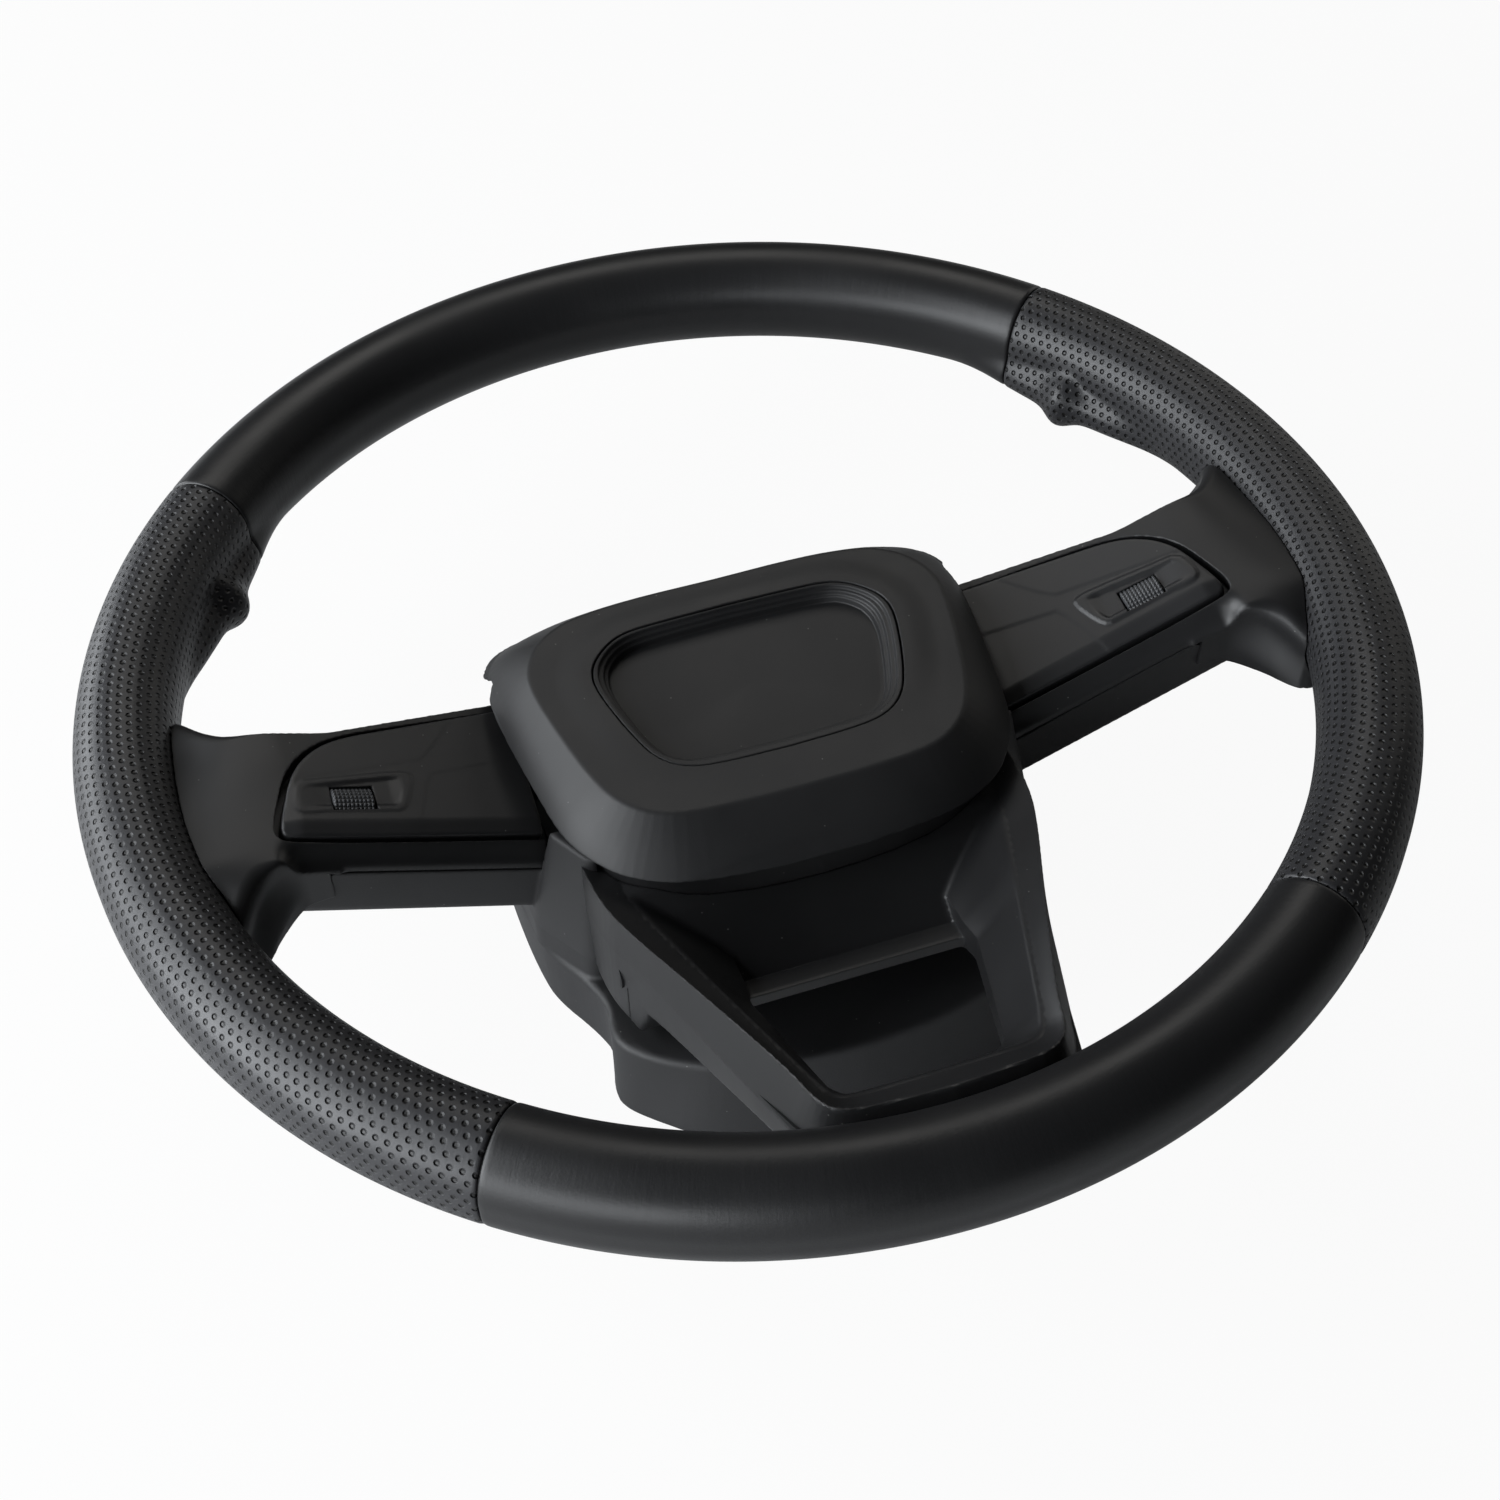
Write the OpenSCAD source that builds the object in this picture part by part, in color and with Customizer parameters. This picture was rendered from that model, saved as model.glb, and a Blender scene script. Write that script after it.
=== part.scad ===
// Car steering wheel with an airbag cover, two switch pods and an open lower spoke.
// +Z points at the driver, +Y to the top of the wheel. The origin is on the column
// axis, at the rear mouth of the hub bore.

/* [Rim] */
// Radius of the middle of the rim's section
rim_r = 172; // [165:1:185]
// Half width of the rim's section, measured along the wheel's radius
rim_half = 13.8; // [12.5:0.1:15]
// Straight part of the section beyond each round half, along the wheel's axis
rim_rise = 1.86; // [1:0.1:3]
// Thickness of the leather
leather_t = 1.2; // [0.8:0.1:1.6]
// Radius of the cast ring inside the foam
ring_r = 5; // [4:0.1:6]
// Height of the rim's middle plane above the hub bore's rear mouth
rim_z = 62; // [58:0.5:66]
// Angle of the upper leather seams above the spokes
seam_hi = 39.5; // [36:0.5:43]
// Angle of the lower leather seams below the spokes
seam_lo = 52; // [48:0.5:56]
// Width of each leather seam
seam_gap = 0.3; // [0.2:0.1:0.8]
// Radius of the thumb rest ridge at its peak
thumb_r = 9.8; // [8.5:0.1:10.5]
// Angle of the peak of the thumb rest ridge
thumb_a = 31.5; // [30:0.5:33]

/* [Hub] */
// Radius of the hub bore
bore_r = 8.5; // [8:0.1:9.5]
// Length of the hub bore
bore_len = 15; // [13:0.5:16]
// Outer radius of the hub boss
boss_r = 19; // [16:0.5:22]
// Thickness of the web above the bore
web_t = 4; // [3:0.5:5]
// Radius of the hole for the column bolt
bolt_hole_r = 7.2; // [6:0.1:7.5]
// Width of each spoke arm of the casting
arm_w = 16; // [12:0.5:20]
// Thickness of each spoke arm of the casting
arm_t = 7; // [5:0.5:8]
// Width of each lower arm of the casting
leg_w = 7; // [5:0.5:8]
// Radius of the guide holes in the hub lugs
guide_hole_r = 3.1; // [2.9:0.05:3.5]

/* [Airbag cover] */
// Half width of the cover's top face at its upper corners
face_half = 61.5; // [58:0.5:64]
// Half width of the cover's skirt
skirt_half = 70.5; // [68:0.5:73]
// Height of the top face above the rim's middle plane
face_z = 6.5; // [5:0.5:8]
// Depth of the skirt's edge below the rim's middle plane
skirt_z = 6; // [5:0.5:8]
// Wall thickness of the cover
cover_t = 3; // [2.5:0.1:3.5]
// Depth of the bare recess in the top face
recess_d = 5.2; // [3:0.1:6]
// Travel of the horn
horn_travel = 2.5; // [1.5:0.1:3]

/* [Switch pods] */
// Angle at which the pods and spokes slope down to the hub
spoke_slope = 21.06; // [18:0.5:24]
// Angle at which the pods lean back at their upper edge
spoke_lean = 4.4; // [2:0.2:6]
// Gap between a switch face and its bezel
face_gap = 0.6; // [0.4:0.1:1]
// Thickness of the switch face
face_t = 2; // [1.6:0.1:2.2]
// Travel of a switch face
face_travel = 0.3; // [0.2:0.05:0.35]
// Radius of the thumb roller
roller_r = 5.6; // [5.2:0.1:5.8]
// Length of the thumb roller
roller_len = 11.4; // [10:0.1:11.6]
// Depth of the roller's axis below the switch face
roller_drop = 4.6; // [4.5:0.05:4.8]
// Travel of the roller when it is pressed
roller_travel = 0.8; // [0.5:0.1:0.9]
// Depth of a spoke behind the switch face
spoke_d = 27; // [25:0.5:29]

/* [Rear cover] */
// Depth of the rear cover behind the rim's middle plane
rear_d = 80; // [78:0.5:84]
// Depth of the shelf behind the lower spoke
shelf_d = 55; // [53:0.5:57]
// Wall thickness of the rear cover
rear_t = 2.8; // [2.2:0.1:3.2]
// Radius of the column opening
column_r = 47; // [42:0.5:50]

/* [Lower spoke] */
// Half width of the lower spoke's frame where it leaves the cover
yoke_top = 61.5; // [59:0.5:63]
// Half width of the lower spoke's frame at the rim
yoke_low = 31.5; // [28:0.5:34]
// Depth of the funnel round the opening
funnel_d = 16; // [14:0.5:18]

/* [Hidden] */
$fn = 64;

// Clearance between fixed pieces that lie side by side
fit_gap = 0.3;
// Colours of the finishes, as the photograph shows them
leather_col = [0.09, 0.09, 0.095];
plastic_col = [0.11, 0.11, 0.115];
cast_col = [0.62, 0.63, 0.64];

// Places that several pieces share
foam_half = rim_half - leather_t;
boss_len = bore_len + web_t;
hub_top = boss_len - rim_z;
lug_t = 4;
lug_z = hub_top - lug_t;
plate_t = 1.6;
spring_pressed = 15.5;
plate_z = hub_top + spring_pressed + horn_travel;
pin_places = [[40, 12], [-40, 12], [0, -48]];
inflator_y = -10;
inflator_r = 28;
inflator_low = plate_z - 7;
inflator_h = 24;
stud_places = [for (a = [45:90:315]) [33.6 * cos(a), inflator_y + 33.6 * sin(a)]];
pin_r = guide_hole_r - 0.1;
pin_head_r = 5;
pin_head_t = 1.6;
// The spoke's frame keeps its distance to the rim, and a pod ends under the cover's skirt
spoke_in = 72;
spoke_x = rim_r - spoke_in;
spoke_z = -2.44;
pod_under = 4.1;
pod_end = -(spoke_x - skirt_half + pod_under) / cos(spoke_slope);
arm_v = -10;
arm_w0 = -19.5;
arm_knee = pod_end - 10;
hub_arm = [boss_r - 5, -8.5, hub_top - boss_len + 4.8];
low_end = -sqrt(pow(rim_r - 2.7, 2) - 28 * 28);
face_skirt = 5;
housing_top = -face_skirt - face_travel - fit_gap;
housing_wall = 1.4;
cradle_base = 1.4;
cradle_low = -roller_drop - roller_r - 1 - cradle_base;
housing_low = cradle_low - roller_travel - 2 * fit_gap - housing_wall;
roller_u = 15.75;
roller_v = -14.4;
axle_r = 1.2;
ear_t = 1.4;
flare_low = -14;
flare_top = 6.3;

// Turn at corner i of a closed outline, as the two tangent points and the arc between them
function unit(v) = v / norm(v);
function corner(p, a, b, r, n) =
    let (u = unit(a - p), v = unit(b - p), half = acos(max(-1, min(1, u * v))) / 2,
        reach = min(r / tan(half), norm(a - p) * 0.49, norm(b - p) * 0.49),
        rr = reach * tan(half), c = p + unit(u + v) * rr / sin(half),
        s = p + u * reach - c, e = p + v * reach - c, span = 180 - 2 * half,
        side = s[0] * e[1] - s[1] * e[0] > 0 ? 1 : -1)
    [for (k = [0:n]) let (t = side * span * k / n)
        c + [s[0] * cos(t) - s[1] * sin(t), s[0] * sin(t) + s[1] * cos(t)]];
function rounded(pts, rs, n = 5) =
    [for (i = [0:len(pts) - 1]) let (m = len(pts))
        each corner(pts[i], pts[(i + m - 1) % m], pts[(i + 1) % m], rs[i], n)];
// Half outlines run from the top centre down the right side; this closes them on the left
function both(half) = concat(half, [for (i = [len(half) - 1:-1:0]) [-half[i][0], half[i][1]]]);
function inset_y(p, d, mid) = p[1] > mid ? p[1] - d : p[1] + d;
function shrink(half, d, mid) = [for (p = half) [p[0] - d, inset_y(p, d, mid)]];

// Outlines of the airbag cover, as half outlines with their corner radii
face_pts = [[face_half, 28.3], [face_half - 12.3, -52.5]];
face_rad = [22, 15];
skirt_pts = [[skirt_half, 36], [skirt_half - 1.5, -30], [skirt_half - 10, -52], [skirt_half - 26.5, -65.5],
    [skirt_half - 52.5, -70.3]];
skirt_rad = [16, 12, 14, 18, 30];
recess_pts = [[32, 17], [45.3, 3.5], [34, -38.6]];
recess_rad = [8, 8, 9];
face_tilt = atan(0.03);

module outline(half, rad, d = 0) {
    pts = both(shrink(half, d, -10));
    polygon(rounded(pts, concat(rad, [for (i = [len(rad) - 1:-1:0]) rad[i]])));
}

// Frames: at_rim puts the rim's middle plane at its height, on_spoke is the plane of a switch face
module at_rim() {
    translate([0, 0, rim_z]) children();
}
module on_spoke(side) {
    mirror([side < 0 ? 1 : 0, 0, 0])
        translate([spoke_x, 0, rim_z + spoke_z]) rotate([spoke_lean, -spoke_slope, 0]) children();
}
function spoke_point(u, v, w) =
    let (h = v * sin(spoke_lean) + w * cos(spoke_lean))
    [spoke_x + u * cos(spoke_slope) - h * sin(spoke_slope), v * cos(spoke_lean) - w * sin(spoke_lean),
        spoke_z + u * sin(spoke_slope) + h * cos(spoke_slope)];
module bar(p, q, w, t) {
    d = q - p;
    translate(p) rotate([0, 0, atan2(d[1], d[0])]) rotate([0, -atan2(d[2], norm([d[0], d[1]])), 0])
        translate([0, -w / 2, -t / 2]) cube([norm(d), w, t]);
}

// Section of the rim, grown by g, and the ring that it sweeps between two angles
module rim_section(g) {
    for (s = [-1, 1]) translate([0, s * rim_rise]) circle(rim_half + g);
    square([2 * (rim_half + g), 2 * rim_rise], center = true);
}
module rim_ring(g, a0 = 0, a1 = 360) {
    at_rim() rotate([0, 0, a0]) rotate_extrude(angle = a1 - a0, $fn = 96)
        translate([rim_r, 0]) rim_section(g);
}

// Outline of a switch face in the plane of its spoke, grown by d
function pod_outline(d) = rounded(
    [[pod_end - d, 18.7 + d], [17.5 + d * 0.3, 6.8 + d], [30 + d, -3.5 + d * 0.6],
        [36.8 + d, -23.5], [34.8 + d, -26.6 - d], [pod_end - d, -26.2 - d]],
    [0.5, 14, 8, 3, 2.5, 0.5]);
// Outline of the bezel round it
function bezel_outline(d) = rounded(
    [[pod_end - 1 + d, 22.4 - d], [17.5, 10.4 - d], [41.5 - d, 9 - d], [41.5 - d, -28],
        [37.5 - d, -32.6 + d], [pod_end - 1 + d, -32.6 + d]],
    [0.5, 8, 5, 8, 6, 0.5]);

// Plan of the flare that carries a bezel on to the rim, and its crescent seen from the hub
flare_plan = [[34, 9.4], [40, 11.2], [46, 15], [51, 20.5], [55, 27.5], [57, 33], [66, 33],
    [66, -47], [50, -47], [46.5, -41.5], [43, -36.5], [38, -33.2], [34, -32.4]];
flare_root = [[34, 9.4], [40, 11.2], [46, 15], [46, -41.5], [43, -36.5], [38, -33.2], [34, -32.4]];
function crescent(e) = [[31 + e, 1.5], [24, flare_top + e], [-28, flare_top + e], [-40 - e, 4],
    [-46 - e, -5], [-41 - e, flare_low - e], [22 + e, flare_low - e], [28 + e, -6]];
module crescent_zone(e) {
    at_rim() translate([spoke_x, 0, 0]) intersection() {
        translate([0, 0, flare_low - e]) linear_extrude(flare_top - flare_low + 2 * e)
            polygon(flare_plan);
        translate([30, 0, 0]) rotate([90, 0, 90]) linear_extrude(40) polygon(crescent(e));
    }
}

// The casting
module spoke_arms(g = 0) {
    intersection() {
        for (s = [0, 1]) mirror([s, 0, 0]) {
            on_spoke(1) translate([arm_knee, arm_v - arm_w / 2 - g, arm_w0 - arm_t / 2 - g])
                cube([spoke_in / cos(spoke_slope) - arm_knee, arm_w + 2 * g, arm_t + 2 * g]);
            at_rim() bar(hub_arm, spoke_point(arm_knee + 2, arm_v, arm_w0), arm_w + 2 * g, arm_t + 2 * g);
        }
        at_rim() cylinder(r = rim_r, h = 200, center = true);
    }
}
module lower_arms(g = 0) {
    for (s = [-1, 1]) at_rim() {
        knee = [s * 55, -66, -34];
        bar([s * 18, -16, lug_z + 1], knee, leg_w + 2 * g, arm_t + 2 * g);
        translate(knee) rotate([0, 90, 0]) cylinder(r = leg_w * 0.72 + g, h = leg_w + 2 + 2 * g, center = true);
        bar(knee, [s * 28, low_end, -1], leg_w + 2 * g, arm_t + 2 * g);
    }
}
module armature() {
    color(cast_col) difference() {
        union() {
            at_rim() rotate_extrude($fn = 96) translate([rim_r, 0]) circle(ring_r);
            spoke_arms();
            lower_arms();
            cylinder(r = boss_r, h = boss_len);
            at_rim() translate([0, 0, lug_z]) linear_extrude(lug_t) {
                circle(boss_r + 7);
                for (p = pin_places) {
                    translate(p) circle(8);
                    rotate([0, 0, atan2(p[1], p[0])]) translate([0, -7]) square([norm(p), 14]);
                }
            }
        }
        translate([0, 0, -1]) cylinder(r = bore_r, h = bore_len + 1);
        cylinder(r = bolt_hole_r, h = boss_len + 20);
        at_rim() for (p = pin_places) translate([p[0], p[1], lug_z - 40]) cylinder(r = guide_hole_r, h = 80);
        at_rim() translate([0, 0, hub_top]) cylinder(r = boss_r + 6, h = 30);
        screw_holes(0.05, 5);
    }
}
// The thumb rest is a spindle that lies along the inner rear side of the rim, where thumb_off
// and thumb_dip place its axis in the rim's section
thumb_off = 14;
thumb_dip = 33;
module thumb_form(g) {
    at_rim() rotate([0, 0, thumb_a])
        translate([rim_r - thumb_off * cos(thumb_dip), 0, -thumb_off * sin(thumb_dip)]) rotate([90, 0, 0])
            rotate_extrude() polygon(concat([[0, -40]],
                [for (t = [-40:4:44]) [thumb_r - 3.4 * (1 - exp(-t * t / 30)) - 0.0017 * t * t + g, t]],
                [[0, 44]]));
}
module thumb_rests(g) {
    for (s = [0, 1]) mirror([s, 0, 0]) thumb_form(g);
}
module rim_foam() {
    color([0.13, 0.13, 0.13]) difference() {
        union() {
            rim_ring(-leather_t);
            thumb_rests(-leather_t);
        }
        at_rim() rotate_extrude($fn = 96) translate([rim_r, 0]) circle(ring_r);
        spoke_arms();
        lower_arms();
    }
}

// The leather
seam_half = seam_gap / rim_r * 28.65;
module leather(a0, a1) {
    difference() {
        union() {
            rim_ring(0, a0 + seam_half, a1 - seam_half);
            children();
        }
        rim_ring(-leather_t, a0 - 2, a1 + 2);
        thumb_rests(-leather_t);
        spoke_arms(fit_gap);
        lower_arms(fit_gap);
    }
}
module seam_side(s, keep_top) {
    mirror([s, 0, 0]) rotate([0, 0, seam_hi + (keep_top ? seam_half : -seam_half)])
        translate([0, keep_top ? 0 : -rim_r, 0]) cube([rim_r, rim_r, 200]);
}
module side_leather() {
    color(leather_col) difference() {
        leather(-seam_lo, seam_hi) intersection() {
            thumb_form(0);
            seam_side(0, false);
        }
        crescent_zone(fit_gap);
    }
}
module leather_top() {
    color(leather_col) leather(seam_hi, 180 - seam_hi) for (s = [0, 1]) intersection() {
        mirror([s, 0, 0]) thumb_form(0);
        seam_side(s, true);
    }
}
module leather_bottom() {
    color(leather_col) leather(180 + seam_lo, 360 - seam_lo);
}

// The spoke bezels
module bezel() {
    color(plastic_col) {
        difference() {
            union() {
                on_spoke(1) intersection() {
                    translate([0, 0, -8.5]) linear_extrude(7.5) polygon(bezel_outline(0));
                    // The lip steps down below the lower edge of the switch face
                    translate([pod_end - 24, 0, 0]) rotate([90, 0, 90]) linear_extrude(74 - pod_end)
                        polygon([[-40, -9], [-40, -5.5], [-29, -5], [-26, -1], [30, -1], [30, -9]]);
                }
                difference() {
                    crescent_zone(0);
                    rim_ring(-leather_t, -30, 30);
                    at_rim() translate([spoke_x, -60, flare_low - 1]) cube([45, 120, 17]);
                }
                difference() {
                    at_rim() translate([spoke_x, 0, flare_low]) linear_extrude(flare_top - flare_low)
                        polygon(flare_root);
                    at_rim() translate([spoke_x, -60, flare_low - 1]) cube([42, 120, 17]);
                }
            }
            on_spoke(1) translate([0, 0, -30]) linear_extrude(60) polygon(pod_outline(face_gap));
            spoke_arms(fit_gap);
        }
    }
}

// The rear cover
function body_outline(d, w, low) = rounded(both(
    [[w - 7 - d, 38 - d], [w - d, 8], [w - 2.5 - d, -34], [low - d, -47 - (low - 60) * 1.4 + d]]),
    [18, 30, 8, 6, 6, 8, 30, 18], 4);
function drum_outline(d, g) = rounded(both(
    [[70 - g - d, 38 - g - d], [77 - g - d, 8], [74.5 - g - d, -34], [65 - d, -56],
        [63.5 + g / 2 - d, -73 - g], [46 + g - d, -88.5 - g * 2 + d], [20, -97.5 - g * 2 + d]]),
    [18, 30, 8, 8, 5, 10, 30, 30, 10, 5, 8, 8, 30, 18], 4);
body_w = 77;
module body_form(d) {
    at_rim() hull() {
        translate([0, 0, -11.3]) linear_extrude(1) polygon(body_outline(d, 70, 60));
        translate([0, 0, -46]) linear_extrude(1) polygon(body_outline(d, body_w, 63.5));
    }
    at_rim() translate([0, 0, -shelf_d - 1 + d]) linear_extrude(shelf_d - 44 - d)
        polygon(body_outline(d, body_w, 63.5));
}
module drum_form(d) {
    at_rim() hull() {
        translate([0, 0, -shelf_d - 1 - d]) linear_extrude(1) polygon(drum_outline(d, 0));
        translate([0, 0, -rear_d + d]) linear_extrude(1) polygon(drum_outline(d, 1.2));
    }
}
function arm_outline(d) = rounded(
    [[pod_end - 14, 26.2 - d], [17.5, 9.8 - d], [42, 8 - d], [52, 13 - d], [66, 26 - d], [66, -46 + d],
        [52, -38 + d], [40, -35 + d], [pod_end - 14, -35.6 + d]],
    [0.5, 8, 8, 10, 0.5, 0.5, 8, 8, 0.5], 4);
module arm_form(d, top) {
    on_spoke(1) translate([0, 0, -spoke_d + d]) linear_extrude(spoke_d - d + top) polygon(arm_outline(d));
}
screw_places = [[56, -10, -47.3], [-56, -10, -47.3], [50, -66, -35], [-50, -66, -35]];
screw_r = 2;
module screw_holes(g, up) {
    for (p = screw_places) at_rim() translate([p[0], p[1], -rear_d - 1])
        cylinder(r = screw_r + g, h = p[2] + rear_d + 1 + up, $fn = 24);
}
module rear_cover() {
    color(plastic_col) difference() {
        union() {
            difference() {
                union() {
                    body_form(0);
                    drum_form(0);
                }
                body_form(rear_t);
                drum_form(rear_t);
                at_rim() translate([0, 0, -13]) linear_extrude(30) polygon(body_outline(rear_t, 70, 60));
                at_rim() translate([0, 0, -shelf_d - 2 * rear_t]) linear_extrude(4 * rear_t)
                    polygon(body_outline(rear_t, body_w, 63.5));
                at_rim() translate([0, 0, -rear_d - 1]) cylinder(r = column_r, h = rear_t + 2);
            }
            for (s = [0, 1]) mirror([s, 0, 0]) difference() {
                arm_form(0, -8.5 - fit_gap);
                rim_ring(fit_gap, -30, 30);
                at_rim() translate([spoke_x + 33.5, -60, flare_low - fit_gap]) cube([60, 120, 60]);
                body_form(rear_t);
                translate([-60, -80, -50]) cube([120, 160, 200]);
            }
            for (p = screw_places) at_rim() translate([p[0], p[1], -rear_d])
                cylinder(r = screw_r + 3, h = rear_d + p[2] - fit_gap, $fn = 32);
        }
        // The spokes' channels run through the side walls
        for (s = [0, 1]) mirror([s, 0, 0]) intersection() {
            arm_form(rear_t, 30);
            at_rim() translate([50, -100, -100]) cube([rim_r, 200, 200]);
        }
        lower_arms(fit_gap);
        for (s = [-1, 1]) on_spoke(s) translate([0, 0, -8.5 - fit_gap]) linear_extrude(60)
            polygon(bezel_outline(-fit_gap));
        // The lower spoke enters through the lower wall
        at_rim() translate([-58, -80, -shelf_d + 2]) cube([116, 40, 60]);
        screw_holes(0.1, 1);
        for (p = screw_places) at_rim() translate([p[0], p[1], -rear_d - 1]) cylinder(r = 3.8, h = 4, $fn = 32);
    }
}
module cover_screws() {
    color([0.35, 0.35, 0.36]) for (p = screw_places) at_rim() translate([p[0], p[1], -rear_d]) difference() {
        union() {
            translate([0, 0, 0.8]) cylinder(r = 3.6, h = 2.2, $fn = 32);
            translate([0, 0, 2.9]) cylinder(r = screw_r, h = rear_d + p[2] - 2.9 + 4, $fn = 24);
        }
        for (a = [0, 90]) rotate([0, 0, a]) cube([4, 0.9, 3.4], center = true);
    }
}

// The lower spoke
function yoke_outline(d) = rounded(both(
    [[yoke_top - d, -47], [yoke_top - 1.2 - d, -64], [yoke_low - d, 18.5 - rim_r + d]]), [1, 10, 7, 7, 10, 1]);
crease_pts = [[53, -60], [50.6, -71], [26.5, 22.7 - rim_r]];
crease_rad = [3, 8, 7];
mouth_pts = [[30, -90], [31.5, -97], [22.5, 34.4 - rim_r]];
mouth_rad = [2, 6, 6];
// The frame's front face rises from its upper end to the front of the rim
yoke_head = [-47.6, -13.3];
yoke_foot = [10 - rim_r, 9.9];
front_tilt = atan((yoke_foot[1] - yoke_head[1]) / (yoke_head[0] - yoke_foot[0]));
module yoke_profile() {
    // Side view of the lower spoke, with Y along the wheel and Z towards the driver
    rotate([90, 0, 90]) linear_extrude(160, center = true) polygon(
        [yoke_head, yoke_foot, [yoke_foot[0], -10.5], [yoke_foot[0] + 30, -20], [-90, -33.4],
            [-81, -37], [-76, -shelf_d + 5], [-54.3, -shelf_d + 5], [-52.8, -46]]);
}
module funnel_outline(n) {
    polygon(rounded(both(crease_pts), concat(crease_rad, [for (i = [len(crease_rad) - 1:-1:0]) crease_rad[i]]), n));
}
module mouth_outline(n) {
    polygon(rounded(both(mouth_pts), concat(mouth_rad, [for (i = [len(mouth_rad) - 1:-1:0]) mouth_rad[i]]), n));
}
module lower_bezel() {
    color(plastic_col) at_rim() difference() {
        intersection() {
            translate([0, 0, -80]) linear_extrude(100) polygon(yoke_outline(0));
            yoke_profile();
        }
        // The funnel runs square to the sloping front face
        translate([0, 0, yoke_head[1] + yoke_head[0] * tan(front_tilt) + 0.2]) rotate([-front_tilt, 0, 0]) hull() {
            linear_extrude(8) scale([1, 1 / cos(front_tilt), 1]) funnel_outline(4);
            translate([0, funnel_d * sin(front_tilt), -funnel_d]) linear_extrude(0.1)
                scale([1, 1 / cos(front_tilt), 1]) mouth_outline(4);
        }
        // The opening runs right through
        translate([0, 0, -80]) linear_extrude(120) mouth_outline(4);
        // The panel above the opening falls away from the cover's skirt
        rotate([90, 0, 90]) linear_extrude(100.5, center = true)
            polygon([[-40, -8], [-58, -14], [-65, -17.8], [-84, -30], [-92, -29], [-96, 12], [-40, 12]]);
        translate([0, 0, -rim_z]) lower_arms(fit_gap);
        translate([0, 0, -rim_z]) rim_ring(fit_gap, 240, 300);
        // The cover's inner wall and the screw bosses have room behind the panel
        translate([0, 0, -30]) linear_extrude(60) outline(skirt_pts, skirt_rad, 5);
        translate([-58, -72, -78]) cube([116, 32, 43.3]);
        translate([-58, -57, -78]) cube([116, 20, 50]);
        translate([0, 0, -rim_z]) screw_holes(0.05, 6);
    }
}

// The airbag module
module cover_form(d) {
    hull() {
        translate([0, 0, face_z - 0.6 - d]) rotate([face_tilt, 0, 0]) linear_extrude(0.6)
            outline(face_pts, face_rad, 1.6 + d * 0.6);
        translate([0, 0, face_z - 1.4 - d]) rotate([face_tilt, 0, 0]) linear_extrude(0.5)
            outline(face_pts, face_rad, d * 0.6);
        translate([0, 0, -skirt_z - 1]) linear_extrude(1.6) outline(skirt_pts, skirt_rad, d);
    }
}
module recess_step(d, depth) {
    translate([0, 0, face_z - depth]) rotate([face_tilt * 1.5, 0, 0]) linear_extrude(20)
        outline(recess_pts, recess_rad, d);
}
cover_floor = face_z - recess_d - cover_t;
apron_in = 5.3;
apron_low = 18.5;
module airbag_cover() {
    color(plastic_col) at_rim() difference() {
        union() {
            difference() {
                cover_form(0);
                intersection() {
                    cover_form(cover_t);
                    translate([-150, -150, -60]) cube([300, 300, 60 + cover_floor]);
                }
            }
            // The apron closes the gap to the lower spoke, set back behind the skirt
            intersection() {
                translate([0, 0, -apron_low]) linear_extrude(apron_low) difference() {
                    outline(skirt_pts, skirt_rad, apron_in);
                    outline(skirt_pts, skirt_rad, apron_in + 2.2);
                }
                translate([-80, -90, -40]) cube([160, 42, 80]);
            }
            translate([0, 0, -skirt_z]) linear_extrude(3) intersection() {
                difference() {
                    outline(skirt_pts, skirt_rad, cover_t - 0.5);
                    outline(skirt_pts, skirt_rad, apron_in + 2.2);
                }
                translate([-80, -90]) square([160, 42]);
            }
            // The inner wall reaches down round the retainer plate
            translate([0, 0, plate_z]) linear_extrude(cover_floor + 0.7 - plate_z) difference() {
                plate_outline(2.7);
                plate_outline(fit_gap);
            }
        }
        recess_step(0, 0.9);
        recess_step(2.2, 1.9);
        recess_step(4.6, recess_d);
    }
}
module plate_outline(d) {
    outline([[54, 28], [44, -54]], [12, 12], -d);
}
module retainer_plate() {
    color([0.55, 0.56, 0.57]) at_rim() difference() {
        union() {
            translate([0, 0, plate_z]) linear_extrude(plate_t) plate_outline(0);
            for (s = [-1, 1]) translate([s * 46 - 1, -20, plate_z]) cube([2, 34, 6]);
        }
        translate([0, inflator_y, plate_z - 1]) cylinder(r = inflator_r + fit_gap, h = 10);
        for (p = stud_places) translate([p[0], p[1], plate_z - 1]) cylinder(r = 2.7, h = 10);
        for (p = pin_places) translate([p[0], p[1], plate_z - 1]) cylinder(r = pin_r + 0.05, h = 10);
    }
}
module inflator() {
    color([0.6, 0.61, 0.62]) at_rim() {
        translate([0, inflator_y, 0]) difference() {
            union() {
                translate([0, 0, inflator_low]) cylinder(r = inflator_r, h = inflator_h);
                translate([0, 0, inflator_low + inflator_h]) cylinder(r1 = inflator_r, r2 = inflator_r - 4, h = 3);
                translate([0, 0, plate_z + plate_t]) cylinder(r = 37.5, h = 1.8);
            }
            for (a = [0:30:330]) rotate([0, 0, a]) translate([inflator_r - 1.5, 0, inflator_low + 18])
                cube([5, 3, 3], center = true);
        }
        for (p = stud_places) translate([p[0], p[1], plate_z - 6]) cylinder(r = 2.5, h = 7 + plate_t);
    }
}
module inflator_nuts() {
    color([0.7, 0.7, 0.68]) at_rim() for (p = stud_places) translate([p[0], p[1], plate_z - 4.5]) difference() {
        union() {
            cylinder(r = 4.6, h = 4.5, $fn = 6);
            translate([0, 0, 3.5]) cylinder(r = 5.2, h = 1);
        }
        translate([0, 0, -1]) cylinder(r = 2.5, h = 8);
    }
}
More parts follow.
